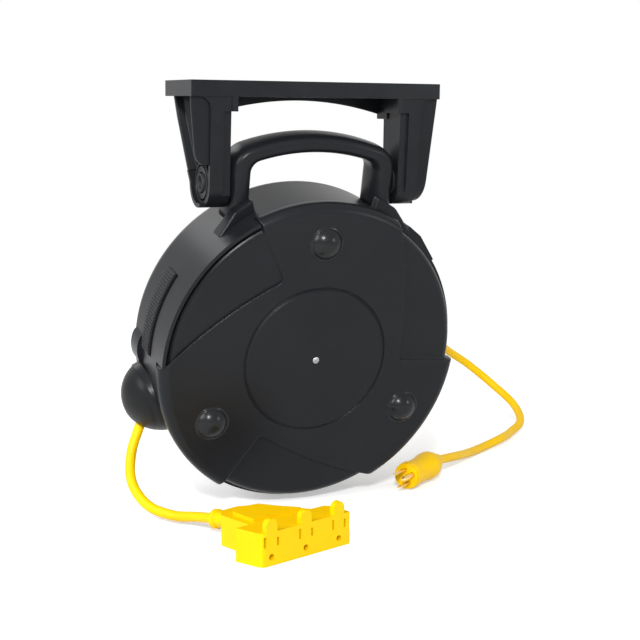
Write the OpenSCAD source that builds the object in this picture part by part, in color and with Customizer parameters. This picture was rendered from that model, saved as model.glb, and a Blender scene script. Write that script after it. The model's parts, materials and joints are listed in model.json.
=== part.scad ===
// Retractable extension cord reel: a round drum housing that swings on a ceiling
// bracket, with a spring-wound drum, a ratchet, a roller outlet, a ball stop, a
// triple-tap connector and a supply cord with its plug. Millimetres, +Z up.
// The origin is on the bracket's top face, above the swing axis. Most of the reel is
// drawn in its own frame: X right, Y back from the front face, Z up, with the drum
// axis as the Y axis. reel() carries that frame to its hanging place.

/* [Housing] */
// Radius of the front cover over its raised lobes
cover_r = 138.5; // [132:0.5:150]
// How far the front cover stands out past the drum wall
rim_overhang = 1.5; // [1:0.5:4]
// Depth of the housing, from the front face to the back face
housing_depth = 97; // [94:1:112]
// Wall thickness of the two shells
shell_t = 3; // [2.5:0.1:3.5]
// Depth of the front cover's rim
cover_rim = 14; // [12:0.5:15]
// Width of the groove between the cover's rim and the drum wall
groove_w = 3; // [2:0.5:4]
// Radius of the front cover's outer edge
edge_round = 9; // [6:0.5:10]
// Radius of the housing's back edge
back_round = 20; // [12:1:22]
// Radius of the edge round a sunk panel
panel_round = 4; // [3.5:0.5:7]
// Gap between a sunk panel's edge and the drum wall that rings it
rim_gap = 1.5; // [0.8:0.1:2]
// Height of the raised lobes over the sunk panels
lobe_step = 2.5; // [1.5:0.1:3]
// Radius of the raised centre disc
centre_disc_r = 66; // [50:1:72]
// Height of the raised centre disc
centre_disc_h = 0.8; // [0.4:0.1:1.2]
// Radius at which the three domes sit
dome_ring_r = 104; // [98:1:110]
// Base radius of each dome
dome_r = 14; // [10:0.5:16]
// Height of each dome
dome_h = 8.5; // [5:0.5:9]

/* [Sunk panels] */
// Radius of a panel's inner corner
panel_corner_r = 80; // [76:1:90]
// Direction of a panel's short edge
panel_edge_angle = 116; // [112:1:120]
// Direction in which a panel's long edge meets the rim
panel_tip_angle = 181.5; // [174:0.5:184]
// Bow radius of a panel's long edge
panel_bow_r = 376; // [300:10:600]
// Rounding of a panel's inner corner
panel_fillet = 5; // [3:1:10]

/* [Swing] */
// Height of the swing axis above the drum axis
pivot_up = 144; // [140:1:156]
// Depth of the swing axis behind the front face
pivot_back = 52.5; // [48:0.5:56]
// Height of the bracket's top face above the swing axis
pivot_drop = 83.5; // [78:0.5:92]
// Angle at which the reel hangs, bottom swung back
hang_tilt = 12; // [0:1:20]
// Radius of the pivot screw's shoulder
pivot_r = 5; // [4:0.5:6]
// Radial clearance of each running fit
run_gap = 0.05; // [0.03:0.01:0.09]

/* [Bracket] */
// Length of the bracket's plate
plate_l = 225; // [216:1:260]
// Reach of the plate in front of the swing axis
plate_front = 25.5; // [24:0.5:34]
// Reach of the plate behind the swing axis
plate_rear = 44; // [38:1:56]
// Thickness of the plate
plate_t = 5; // [4:0.5:7]
// Depth of the plate's front skirt
skirt_h = 13; // [9:0.5:15]
// Depth of the rear skirt where it meets the legs
skirt_end_h = 25; // [20:1:30]
// Thickness of the bracket's walls and flanges
bracket_t = 3.5; // [3:0.25:4.5]
// Width of each leg across the bracket
leg_w = 22; // [19:1:24]
// Width of each leg's front flange
leg_front_w = 18.5; // [15:0.5:19]
// Radius of each leg's rounded foot
leg_foot_r = 20.7; // [18:0.5:22]
// Depth of each leg at its top, behind the swing axis
leg_top_rear = 39; // [32:1:42]
// Spacing of the mounting holes along the plate
hole_span_x = 114; // [90:1:130]
// Spacing of the mounting holes across the plate
hole_span_y = 36; // [28:1:38]
// Radius of each mounting hole
hole_r = 3.5; // [2.5:0.25:4.5]

/* [Handle] */
// Half width of the handle over its legs
handle_half = 75.5; // [72:0.5:80]
// Height of the handle's top above the drum axis
handle_top = 186.8; // [182:0.2:192]
// Bow radius of the grip's top
handle_bow = 190; // [160:5:300]
// Thickness of the grip
grip_t = 15.5; // [12:0.5:18]
// Width of each handle leg
handle_leg = 19.5; // [16:0.5:24]
// Depth of the handle, front to back
handle_depth = 34; // [28:1:38]
// Outer corner radius of the arch
handle_corner = 22; // [18:1:30]
// Corner radius of the opening under the grip
handle_in_corner = 10; // [6:1:16]
// Rounding of the handle's long edges
handle_edge = 6; // [3:0.5:7]

/* [Drum] */
// Wall of the drum's core
core_t = 4; // [3:0.5:5]
// Gap between the drum's flanges and the drum wall
flange_gap = 12; // [11:0.5:15]
// Thickness of the drum's flanges
flange_t = 3; // [2:0.5:3.5]
// Room behind the drum for the ratchet and the slip rings
rear_room = 18.5; // [17:0.5:20]
// Depth of the drum's front flange behind the front face
drum_front = 15.5; // [15:0.5:18]
// Radius of the fixed axle
axle_r = 8; // [6:0.5:9]
// Teeth on the ratchet ring, a multiple of twelve
ratchet_teeth = 24; // [12:12:36]
// Depth of each ratchet tooth
tooth_h = 5; // [4:0.5:6]
// Turns of the power spring
spring_turns = 7; // [4:1:9]

/* [Cords] */
// Diameter of both cords
cord_d = 8.8; // [8:0.1:9.5]
// Direction in which the cord leaves the drum
cord_out_angle = 252; // [249:1:256]
// Gap between the outlet's body and the drum's rear flange
outlet_side = 0.5; // [0.4:0.1:1.5]
// Direction in which the outlet's mouth faces
mouth_angle = 209; // [205:1:214]
// Radius of the ball stop's flat face
ball_flat_r = 32; // [28:0.5:34]
// Height of the ball stop
ball_h = 24.5; // [22:0.5:28]
// Radius of each guide roller
roller_r = 5; // [4:0.5:5.5]
// Height of the bracket's top above the surface that the free cords lie on
floor_drop = 370; // [370:1:390]

/* [Connector and plug] */
// Length of the triple tap's bar
tap_l = 92; // [88:1:100]
// Height of the bar
tap_h = 27; // [25:0.5:32]
// Depth of the bar
tap_d = 26; // [22:0.5:30]
// Spacing of the outlets
outlet_pitch = 35.5; // [34:0.5:37]
// Radius of the plug's body at its face
plug_r = 13.2; // [12:0.1:16]
// Length of the plug's body
plug_l = 58; // [52:1:64]

/* [Hidden] */
$fn = 96;

black = "#1d1e20";
dark = "#2a2b2e";
steel = "#a8abaf";
brass = "#c9a24a";
yellow = "#f6c400";

// Gap between pieces that seat on each other, and between pieces that pass
seat_gap = 0.1;
pass_gap = 0.3;

wall_r = cover_r - rim_overhang;
inner_r = wall_r - shell_t;
wall_tip = 0.8;
wall_front = cover_rim + groove_w;
back_in = housing_depth - shell_t;
lip_r = inner_r - pass_gap;
panel_rim_r = inner_r - rim_gap;
flange_r = inner_r - flange_gap;
lip_t = 2.5;
lip_end = wall_front + 6;

core_front = drum_front + flange_t;
drum_back = back_in - rear_room;
core_back = drum_back - flange_t;
drum_w = core_back - core_front;
turns_wide = floor((drum_w - 1) / cord_d);
turn_pitch = (drum_w - 1.2) / turns_wide;
cord_r = cord_d / 2;
layers = 3;
layer_gap = 0.5;

// Places on the drum's rim, as [x, z] in the reel's frame
function polar(r, a) = [r * cos(a), r * sin(a)];
function at(p, y) = [p[0], y, p[1]];

// Carries the reel's own frame to its hanging place under the bracket
module reel() {
    translate([0, 0, -pivot_drop])
        rotate([hang_tilt, 0, 0])
            translate([0, -pivot_back, -pivot_up])
                children();
}

// Turns a profile, radius to the right and depth behind the face upward, about the drum axis
module turned(angle = 360) {
    rotate([-90, 0, 0]) rotate_extrude(angle = angle) children();
}

// Extrudes an outline, seen from the front, from depth y0 back by t
module plate(y0, t) {
    translate([0, y0 + t, 0]) rotate([90, 0, 0]) linear_extrude(t) children();
}

// A round bar along Y from depth y0, at the rim place p
module bar_y(p, y0, r, l) {
    translate(at(p, y0)) rotate([-90, 0, 0]) cylinder(r = r, h = l);
}

// A round bar along X
module bar_x(x0, y, z, r, l) {
    translate([x0, y, z]) rotate([0, 90, 0]) cylinder(r = r, h = l);
}

// ---------------------------------------------------------------- bracket

leg_in = handle_half + 1.5;
leg_out = leg_in + leg_w;
bush_r = pivot_r + 3;
boss_r = bush_r + 5.5;
head_r = bush_r;
head_t = 6;
bush_end = leg_in + leg_front_w - head_t - 3;

// Direction of a leg's rear edge, as the angle of its foot's tangent point
leg_reach = norm([leg_top_rear, pivot_drop]);
leg_tangent = atan2(pivot_drop, leg_top_rear) - acos(leg_foot_r / leg_reach);

// The side view of a leg, depth to the right and height upward from the swing axis
module leg_side(inset = 0, top = 0) {
    r = leg_foot_r - inset;
    run = leg_reach * sin(acos(leg_foot_r / leg_reach));
    foot = r * [cos(leg_tangent), sin(leg_tangent)];
    head = foot + run * [-sin(leg_tangent), cos(leg_tangent)];
    intersection() {
        union() {
            circle(r);
            polygon([[-r, 0], foot, head, [inset - plate_front, head[1]]]);
        }
        translate([-60, -60]) square([160, 60 + pivot_drop - top]);
    }
}

// Stands a leg's side view up at the swing axis, from x0 outward by w
module leg_slab(x0, w) {
    translate([x0, 0, -pivot_drop])
        rotate([90, 0, 90]) linear_extrude(w) children();
}

leg_fillet = 11;
leg_bevel = 7;
leg_step = 2.5;

// The front flange seen from the front: straight, with a fillet up to the plate's end
module leg_front_outline() {
    out = leg_in + leg_front_w;
    polygon(concat([[leg_in, -pivot_drop - leg_foot_r], [out, -pivot_drop - leg_foot_r]],
        [for (i = [0:8]) [out + leg_fillet, -skirt_h - leg_fillet] + polar(leg_fillet, 180 - 90 * i / 8)],
        [[plate_l / 2, -skirt_h], [plate_l / 2, -1], [leg_in, -1]]));
}

// The rear flange seen from the front, flared toward the plate
module leg_rear_outline() {
    polygon([[leg_in, -pivot_drop - leg_foot_r], [leg_out, -pivot_drop - leg_foot_r],
        [leg_out, -pivot_drop], [plate_l / 2 - 2, -skirt_h], [plate_l / 2 - 2, -1], [leg_in, -1]]);
}

// The channel-shaped leg on the right; its channel opens outward
module leg() {
    strip_top = pivot_drop - skirt_end_h;
    step_in = [leg_step - leg_foot_r, 0];
    difference() {
        intersection() {
            leg_slab(leg_in, plate_l / 2 - leg_in) leg_side(0, 1);
            union() {
                plate(-plate_front - 1, plate_front) leg_front_outline();
                plate(-1 - bracket_t, plate_rear + bracket_t + 2) leg_rear_outline();
            }
        }
        difference() {
            leg_slab(leg_in + bracket_t + 0.5, leg_w + plate_l) leg_side(bracket_t, plate_t);
            bar_x(leg_in, 0, -pivot_drop, boss_r, leg_front_w);
        }
        // The inner strip of the front flange is set back
        leg_slab(leg_in - 1, leg_bevel + 1) polygon([[-100, -leg_foot_r - 1],
            [-100, strip_top], [-strip_top * (plate_front - leg_foot_r) / pivot_drop, strip_top] + step_in,
            step_in, step_in - [0, leg_foot_r + 1]]);
        bar_x(leg_in - 1, 0, -pivot_drop, bush_r + run_gap, leg_w + 2);
        bar_x(bush_end, 0, -pivot_drop, head_r + 1, leg_w);
    }
}

// The rear skirt, arched between the legs
module arched_skirt() {
    span = leg_in;
    rise = skirt_end_h - skirt_h - 2;
    arch_r = (span * span + rise * rise) / (2 * rise);
    translate([0, plate_rear, 0]) rotate([90, 0, 0]) linear_extrude(bracket_t)
        difference() {
            translate([-leg_in - 1, -skirt_end_h]) square([2 * leg_in + 2, skirt_end_h - 1]);
            translate([0, -skirt_end_h + rise - arch_r]) circle(arch_r, $fn = 200);
        }
}

module mounting_bracket() {
    depth = plate_front + plate_rear;
    color(black) difference() {
        union() {
            translate([-plate_l / 2, -plate_front, -plate_t]) cube([plate_l, depth, plate_t]);
            translate([-plate_l / 2, -plate_front, -skirt_h]) cube([plate_l, bracket_t, skirt_h]);
            for (s = [-1, 1]) {
                translate([s * (plate_l - bracket_t) / 2, depth / 2 - plate_front, -skirt_h / 2])
                    cube([bracket_t, depth, skirt_h], center = true);
                // Stepped corner block inside the leg
                translate([s * (leg_in - 2), -plate_front / 2, -skirt_end_h / 2])
                    cube([5, plate_front, skirt_end_h], center = true);
                // Long ribs under the plate
                translate([0, s * hole_span_y / 3, -skirt_h / 2])
                    cube([2 * leg_in, 2.5, skirt_h], center = true);
                // Bosses round the mounting holes
                for (t = [-1, 1])
                    translate([s * hole_span_x / 2, t * hole_span_y / 2, -skirt_h + 2])
                        cylinder(r = hole_r + 3.2, h = skirt_h - 3);
            }
            leg();
            mirror([1, 0, 0]) leg();
            arched_skirt();
        }
        for (s = [-1, 1], t = [-1, 1])
            translate([s * hole_span_x / 2, t * hole_span_y / 2, -2 * skirt_h])
                cylinder(r = hole_r, h = 3 * skirt_h);
    }
}

module pivot_bushes() {
    color("#e8e4d8") for (s = [0, 1]) mirror([s, 0, 0])
        difference() {
            bar_x(leg_in, 0, -pivot_drop, bush_r, bush_end - leg_in);
            bar_x(leg_in - 1, 0, -pivot_drop, pivot_r + run_gap, leg_w);
        }
}

module friction_washers() {
    t = leg_in - handle_half - 2 * seat_gap;
    color("#c8c2b0") for (s = [0, 1]) mirror([s, 0, 0])
        difference() {
            bar_x(handle_half + seat_gap, 0, -pivot_drop, boss_r, t);
            bar_x(handle_half - 1, 0, -pivot_drop, pivot_r + 0.4, leg_w);
        }
}

// ---------------------------------------------------------------- housing

// Solid section of the drum wall and back from depth y0, drawn in by inset
module tub_section(y0, inset = 0) {
    r = wall_r - inset;
    d = housing_depth - inset;
    c = back_round - inset;
    translate([0, y0]) square([r, d - c - y0]);
    translate([0, y0]) square([r - c, d - y0]);
    translate([r - c, d - c]) circle(c);
}

screw_angles = [2, 70, 110, 150, 240, 300];
screw_ring_r = (inner_r + flange_r) / 2;
screw_boss_r = (inner_r - flange_r) / 2 - 1.2;
screw_seat = housing_depth - back_round / 2;

// Places where the handle's feet are screwed to the wall
foot_x = handle_half - handle_leg / 2;
foot_y = [pivot_back - handle_depth / 4, pivot_back + handle_depth / 4];
foot_head_r = 3.2;
foot_seat_z = sqrt(pow(inner_r, 2) - pow(foot_x + foot_head_r + 1, 2));

// The outlet: the mouth's centre lies on the straight run of the cord off the drum
mouth_r = wall_r - 0.4;
mouth_at = 201.3;
mouth_c = polar(mouth_r, mouth_at);
mouth_n = polar(1, mouth_angle);
run_dir = polar(1, cord_out_angle);
run_side = [-run_dir[1], run_dir[0]];
run_off = mouth_r * sin(cord_out_angle - mouth_at);
function run_at(t, side = 0) = mouth_c + t * run_dir + side * run_side;

// The cord runs off just above the winding's last layer
core_r = run_off - cord_r - layer_gap - layers * cord_d - seat_gap;

guide_half = 15;
guide_w = 15.5;
guide_back = 42;
outlet_y = core_back - guide_half - outlet_side;
lip_back = 7;

// Outline of the outlet's body inside the wall, seen from the front
module guide_outline(grow = 0) {
    polygon([
        run_at(-guide_back - grow, guide_w + grow), run_at(-guide_back - grow, -guide_w - grow),
        run_at(40, -guide_w - grow), run_at(40, guide_w + grow)
    ]);
}

bulge_y = outlet_y + 2;
bulge_w = 19;
bulge_h = 4.8;
bulge_from = 176;
bulge_to = 188;

// Outline of the bulge that stands out from the wall above the outlet
module bulge_outline() {
    polygon(concat([polar(wall_r - 8, bulge_to), polar(wall_r - 8, bulge_from)],
        [for (i = [0:10]) polar(wall_r - 0.5 + bulge_h * sqrt(sin(18 * i)),
            bulge_from + (bulge_to - bulge_from) * i / 10)]));
}

// Round lip that the ball stop seats on, run out past its face by beyond
module outlet_lip(grow = 0, beyond = 0) {
    translate(at(mouth_c, outlet_y)) rotate([0, 90 - mouth_angle, 0])
        translate([0, 0, -lip_back - grow])
            cylinder(r = ball_flat_r + 1 + grow, h = lip_back + grow + beyond);
}

strip_from = 149;
strip_to = 180.5;
strip_w = 20;
strip_y = outlet_y - strip_w - 1.2;
slot_w = 3.6;
strip_h = 2.2;
rib_pitch = 2.6;

// The part of a ring between two directions, radius r0 to r1
module arc_band(r0, r1, from, to) {
    steps = ceil((to - from) / 6);
    difference() {
        intersection() {
            circle(r1);
            polygon(concat([[0, 0]],
                [for (i = [0:steps]) polar(r1 * 1.2, from + (to - from) * i / steps)]));
        }
        circle(r0);
    }
}

pawl_box_angle = 35.1;
pawl_box_r = wall_r + 8.4;
pawl_box_half = 13.6;
pawl_box_y = wall_front + 26;

// Outline of the bulge over the pawl, drawn about the direction of its flat
module pawl_box_outline(inset = 0) {
    rotate(pawl_box_angle)
        polygon([
            [wall_r - 12, -pawl_box_half - 4 + inset], [wall_r + 2.5, -pawl_box_half - 2 + inset],
            [pawl_box_r - inset, -pawl_box_half + inset], [pawl_box_r - inset, pawl_box_half - inset],
            [wall_r + 4, pawl_box_half + 14 - inset], [wall_r - 12, pawl_box_half + 16 - inset]
        ]);
}

pawl_pivot = polar((inner_r + flange_r) / 2, 30);
pawl_pin_r = 2;
ratchet_front = drum_back + seat_gap;
ratchet_t = 6;
pawl_y0 = ratchet_front + 0.5;
pawl_t = ratchet_t - 1;

// The sectors that the cover's raised lobes hang over
module lobe_sectors() {
    from = panel_tip_angle - 2 - 120;
    to = panel_edge_angle + 0.5;
    for (i = [0:2]) rotate(120 * i)
        polygon(concat([[0, 0]], [for (k = [0:8]) polar(2 * cover_r, from + (to - from) * k / 8)]));
}

module rear_housing() {
    color(black) reel() difference() {
        union() {
            difference() {
                union() {
                    turned() tub_section(wall_tip);
                    plate(pawl_box_y, back_in - pawl_box_y - 4) pawl_box_outline();
                    plate(bulge_y, bulge_w) bulge_outline();
                }
                turned() {
                    tub_section(wall_tip, shell_t);
                    translate([0, -1]) square([inner_r, wall_front]);
                }
                plate(-1, wall_front + 1) lobe_sectors();
                // The pawl swings in its box
                plate(pawl_box_y + 2.5, back_in - pawl_box_y - 9) pawl_box_outline(2.5);
            }
            // Bosses for the screws that hold the front cover
            for (a = screw_angles)
                intersection() {
                    bar_y(polar(screw_ring_r, a), lip_end + 1, screw_boss_r, back_in - lip_end);
                    turned() tub_section(lip_end, 0.5);
                }
            // Seats inside for the handle's screws
            for (s = [-1, 1], y = foot_y)
                translate([s * foot_x, y, foot_seat_z]) cylinder(r = 4.5, h = 2);
            // Bearing boss for the axle
            turned() translate([0, back_in - 3]) square([axle_r + 8, 4]);
            // Boss that carries the pawl's pin
            bar_y(pawl_pivot, pawl_y0 + pawl_t + pass_gap, 5, back_in - pawl_y0 - pawl_t);
        }
        for (a = screw_angles) {
            bar_y(polar(screw_ring_r, a), 0, 1.6, housing_depth);
            bar_y(polar(screw_ring_r, a), screw_seat, 3.6, back_round);
        }
        bar_y([0, 0], 0, axle_r + seat_gap, housing_depth + 1);
        bar_y(pawl_pivot, pawl_y0, pawl_pin_r + 0.03, 12);
        // Window for the outlet, and the slot beside the ribbed strip
        plate(outlet_y - guide_half - pass_gap, 2 * (guide_half + pass_gap))
            guide_outline(pass_gap);
        outlet_lip(pass_gap, 6);
        plate(strip_y - slot_w, slot_w + 0.1) arc_band(wall_r - 2, wall_r + 1, strip_from, strip_to);
        plate(strip_y, strip_w) arc_band(wall_r - 1.5, wall_r + 1, strip_from, strip_to);
        // Screw holes for the handle's feet, and the lead-through to the terminal cover
        for (s = [-1, 1], y = foot_y)
            translate([s * foot_x, y, 0]) cylinder(r = 2.1, h = wall_r + 1);
        bar_y([0, -34], housing_depth - 10, 5, 20);
        for (a = terminal_angles) bar_y(polar(terminal_screw_r, a), back_in - 1, 1.6, 10);
        for (x = [-1, 1]) bar_y([x * holder_screw_x, holder_screw_z], back_in - 1, 1.6, 10);
    }
}

module ribbed_strip() {
    inset = 0.12;
    ribs = floor((strip_to - strip_from - 2 * inset) * wall_r * PI / 180 / rib_pitch) - 1;
    color(dark) reel() {
        plate(strip_y + seat_gap, strip_w - 2 * seat_gap)
            arc_band(wall_r - 1.5 + seat_gap, wall_r + strip_h - 1, strip_from + inset, strip_to - inset);
        for (i = [0:ribs - 1])
            bar_y(polar(wall_r + strip_h - 1.2, strip_from + 1 + i * (strip_to - strip_from - 2) / (ribs - 1)),
                strip_y + seat_gap, 1, strip_w - 2 * seat_gap, $fn = 16);
    }
}

// Outline of one sunk panel, seen from the front: a bowed long edge, a rounded inner
// corner and a short straight edge
panel_corner = polar(panel_corner_r, panel_edge_angle);
panel_tip = polar(cover_r, panel_tip_angle);
panel_chord = panel_tip - panel_corner;
panel_bow_c = (panel_corner + panel_tip) / 2
    - sqrt(pow(panel_bow_r, 2) - pow(norm(panel_chord) / 2, 2))
        * [panel_chord[1], -panel_chord[0]] / norm(panel_chord);
function on_bow(u) = let (v = (1 - u) * (panel_corner - panel_bow_c) + u * (panel_tip - panel_bow_c))
    panel_bow_c + panel_bow_r * v / norm(v);

module sunk_panel() {
    bow_start = panel_fillet / norm(panel_chord);
    b = on_bow(bow_start);
    e = polar(panel_corner_r + panel_fillet, panel_edge_angle);
    polygon(concat(
        [for (i = [1:20]) on_bow(bow_start + (1.3 - bow_start) * i / 20)],
        [for (a = [panel_tip_angle + 4, (panel_tip_angle + panel_edge_angle) / 2 + 10, panel_edge_angle])
            polar(2 * cover_r, a)],
        [for (i = [0:8]) let (u = i / 8)
            pow(1 - u, 2) * e + 2 * u * (1 - u) * panel_corner + pow(u, 2) * b]));
}

// Section of the cover's outside from its face at depth y0, with rim radius r and edge radius c
module cover_section(r, y0, c, inset = 0) {
    d = cover_rim - y0;
    translate([0, y0 + inset]) square([r - c, d - inset]);
    translate([0, y0 + c]) square([r - inset, d - c]);
    translate([r - c, y0 + c]) intersection() {
        circle(c - inset);
        translate([0, -c]) square([c, min(2 * c, d)]);
    }
}

module front_cover() {
    dome_ball = (dome_r * dome_r + dome_h * dome_h) / (2 * dome_h);
    color(black) reel() difference() {
        union() {
            difference() {
                union() {
                    turned() {
                        cover_section(panel_rim_r, lobe_step, panel_round);
                        translate([lip_r - lip_t, cover_rim - 1]) square([lip_t, lip_end - cover_rim + 1]);
                    }
                    difference() {
                        turned() cover_section(cover_r, 0, edge_round);
                        for (i = [0:2]) rotate([0, -120 * i, 0]) plate(-1, cover_rim + 2) sunk_panel();
                    }
                }
                turned() {
                    translate([0, lobe_step + shell_t]) square([panel_rim_r - shell_t, cover_rim]);
                    translate([0, cover_rim - 2]) square([lip_r - lip_t, lip_end]);
                }
            }
            turned() translate([0, -centre_disc_h]) square([centre_disc_r, lobe_step]);
            for (i = [0:2])
                intersection() {
                    translate(at(polar(dome_ring_r, 90 + 120 * i), dome_ball - dome_h)) sphere(dome_ball);
                    translate([-cover_r, -2 * dome_h, -cover_r]) cube([2 * cover_r, 2 * dome_h + 1, 2 * cover_r]);
                }
            // Boss that seats on the axle's front end, and lugs for the cover screws
            turned() translate([0, lobe_step]) square([axle_r + 4, 5]);
            intersection() {
                for (a = screw_angles)
                    bar_y(polar(screw_ring_r, a), lobe_step + 1, screw_boss_r, lip_end - lobe_step - 1);
                turned() {
                    cover_section(panel_rim_r, lobe_step, panel_round, 0.6);
                    translate([0, cover_rim - 1]) square([lip_r - 0.3, lip_end]);
                }
            }
        }
        bar_y([0, 0], -3, 3.2, 20);
        bar_y([0, 0], -centre_disc_h - 1, 5, 1.6);
        turned() translate([0, lobe_step + 3]) square([axle_r + seat_gap, 9]);
        for (a = screw_angles) bar_y(polar(screw_ring_r, a), lobe_step + 6, 1.6, lip_end);
    }
}

// A pan-head screw along Y, its head's underside at depth y0 and its head toward -Y
module screw_y(p, y0, r, l, hr, ht) {
    bar_y(p, y0, r, l);
    bar_y(p, y0 - ht, hr, ht);
}

module cover_screws() {
    color(steel) reel() for (a = screw_angles)
        mirror([0, 1, 0]) screw_y(polar(screw_ring_r, a), -screw_seat + 0.05 - 0.1, 1.5,
            screw_seat - lobe_step - 9, 3.2, 2.5);
}

module centre_screw() {
    color(steel) reel() screw_y([0, 0], -centre_disc_h + 0.55, 3, 22, 4.6, 2.2);
}

module axle() {
    color(steel) reel() difference() {
        union() {
            bar_y([0, 0], lobe_step + 3.1, axle_r, housing_depth + 10 - lobe_step);
            bar_y([0, 0], drum_back + 14, axle_r + 5, back_in - 3.1 - drum_back - 14);
        }
        bar_y([0, 0], -3, 3.05, 28);
    }
}

module axle_nut() {
    color(steel) reel() difference() {
        bar_y([0, 0], housing_depth + seat_gap, axle_r * 1.6, 8, $fn = 6);
        bar_y([0, 0], housing_depth - 1, axle_r + 0.05, 12);
    }
}

terminal_r = 52;
terminal_h = 20;
terminal_round = 6;
terminal_screw_r = terminal_r - 7;
terminal_angles = [60, 180, 300];
gland_r = 8;
gland_z = 0;
gland_y = housing_depth + terminal_h / 2;
gland_end = terminal_r + 22;

module terminal_cover() {
    color(black) reel() difference() {
        union() {
            turned() difference() {
                union() {
                    translate([0, housing_depth + seat_gap]) square([terminal_r, terminal_h - terminal_round]);
                    translate([0, housing_depth + seat_gap]) square([terminal_r - terminal_round, terminal_h]);
                    translate([terminal_r - terminal_round, housing_depth + seat_gap + terminal_h - terminal_round])
                        circle(terminal_round);
                }
                translate([0, housing_depth - 1]) square([terminal_r - 2.5, terminal_h - 3.4]);
            }
            for (a = terminal_angles)
                bar_y(polar(terminal_screw_r, a), housing_depth + seat_gap, 5, terminal_h - 1);
            bar_x(terminal_r - 8, gland_y, gland_z, gland_r + 1, 12);
        }
        for (a = terminal_angles) {
            bar_y(polar(terminal_screw_r, a), housing_depth - 1, 1.6, terminal_h + 3);
            bar_y(polar(terminal_screw_r, a), housing_depth + terminal_h - 3, 3.4, 9);
        }
        bar_x(terminal_r - 20, gland_y, gland_z, gland_r - 2.4, 40);
    }
}

module terminal_screws() {
    color(steel) reel() for (a = terminal_angles)
        mirror([0, 1, 0]) screw_y(polar(terminal_screw_r, a), -(housing_depth + terminal_h - 3) - seat_gap / 2,
            1.5, terminal_h - 1, 3, 2.4);
}

// Moulded strain relief, ringed and tapered, for the supply cord
module supply_gland() {
    color(black) reel() difference() {
        union() {
            bar_x(terminal_r - 6, gland_y, gland_z, gland_r - 2.5, 12);
            translate([terminal_r + 4.1, gland_y, gland_z]) rotate([0, 90, 0])
                cylinder(r1 = gland_r, r2 = cord_r + 1.4, h = gland_end - terminal_r - 4.1);
            for (i = [0:3])
                bar_x(terminal_r + 5 + 4.2 * i, gland_y, gland_z, gland_r - 0.35 * i, 2);
        }
        bar_x(terminal_r - 10, gland_y, gland_z, cord_r + 0.05, 60);
    }
}

brush_radii = [24, 36, 48];
ring_w = 6;
plate_hub_gap = 1;
plate_rim = 8;
plate_t_back = 6.5;
brush_y = drum_back + plate_t_back + 3;
holder_w = 60;
holder_top = 17;
holder_foot = 30;
holder_screw_x = holder_w / 2 - 8;
holder_screw_z = 10 - brush_radii[2] - holder_foot;

module slip_ring_plate() {
    color("#6b3b22") reel() difference() {
        bar_y([0, 0], drum_back + seat_gap, brush_radii[2] + plate_rim, plate_t_back);
        bar_y([0, 0], drum_back - 1, axle_r + 8 + plate_hub_gap, 2 * plate_t_back);
    }
}

module slip_rings() {
    color(brass) reel() turned() for (r = brush_radii)
        translate([r - ring_w / 2, brush_y - 2.8]) square([ring_w, 1.6]);
}

module brush_holder() {
    color("#5a3220") reel() difference() {
        translate([-holder_w / 2, brush_y + 1, -brush_radii[2] - holder_foot])
            cube([holder_w, back_in - brush_y - 1 - seat_gap, brush_radii[2] + holder_foot - holder_top]);
        for (r = brush_radii) translate([-3.2, brush_y - 5, -r - 2.2]) cube([6.4, 40, 4.4]);
        for (x = [-1, 1]) bar_y([x * holder_screw_x, holder_screw_z], brush_y - 1, 1.6, 30);
    }
}

module brushes() {
    color("#3a3a3c") reel() for (r = brush_radii)
        translate([-3, brush_y - 0.9, -r - 2]) cube([6, back_in - brush_y - 0.5, 4]);
}

// ---------------------------------------------------------------- handle

// An arch w to each side and h high, its top bowed by radius bow, its corners rounded by c
function arch(w, h, bow, c, foot) = let (
    up = h - bow + sqrt(pow(bow - c, 2) - pow(w - c, 2)),
    lean = acos((w - c) / (bow - c)),
    half = concat([[w, foot]],
        [for (i = [0:8]) [w - c, up] + polar(c, lean * i / 8)],
        [for (i = [1:8]) [0, h - bow] + polar(bow, lean + (90 - lean) * i / 8)]))
    concat(half, [for (i = [len(half) - 2:-1:0]) [-half[i][0], half[i][1]]]);

handle_foot_z = 96;

// The handle seen from the front, drawn in from its true outline by inset
module handle_outline(inset = 0) {
    difference() {
        polygon(arch(handle_half - inset, handle_top - inset, handle_bow - inset,
            handle_corner - inset, handle_foot_z));
        polygon(arch(handle_half - handle_leg + inset, handle_top - grip_t + inset,
            handle_bow - grip_t + inset, handle_in_corner + inset, 0));
    }
}

// Blade that braces a leg on the drum wall, seen from the front
module foot_blade() {
    polygon([[handle_half - handle_leg + 1, handle_foot_z + 38], [handle_half - 1, pivot_up - 19],
        polar(wall_r + 1, 50), polar(wall_r - 5, 50.5), polar(wall_r - 5, 66)]);
}

module carry_handle() {
    y0 = pivot_back - handle_depth / 2;
    slices = 4;
    color(black) reel() difference() {
        union() {
            plate(y0 + handle_edge, handle_depth - 2 * handle_edge) handle_outline();
            // Rounded front and back edges, in steps
            for (i = [0:slices - 1]) {
                a0 = 90 * i / slices;
                a1 = 90 * (i + 1) / slices;
                near = handle_edge * (1 - sin(a1));
                inset = handle_edge * (1 - cos((a0 + a1) / 2));
                plate(y0 + near, handle_depth - 2 * near) handle_outline(inset);
            }
            // Blades in front of the legs that run down onto the drum wall
            for (s = [0, 1]) mirror([s, 0, 0])
                plate(wall_front + 5, y0 - wall_front + 1) foot_blade();
        }
        turned() square([wall_r + seat_gap, housing_depth + 1]);
        for (s = [-1, 1]) {
            translate([s * (handle_half - 0.5) - (s > 0 ? 19 : 1), pivot_back, pivot_up])
                rotate([0, 90, 0]) cylinder(r = pivot_r + 0.02, h = 20);
            for (y = foot_y) translate([s * foot_x, y, 0]) cylinder(r = 1.6, h = wall_r + 1);
        }
    }
}

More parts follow.
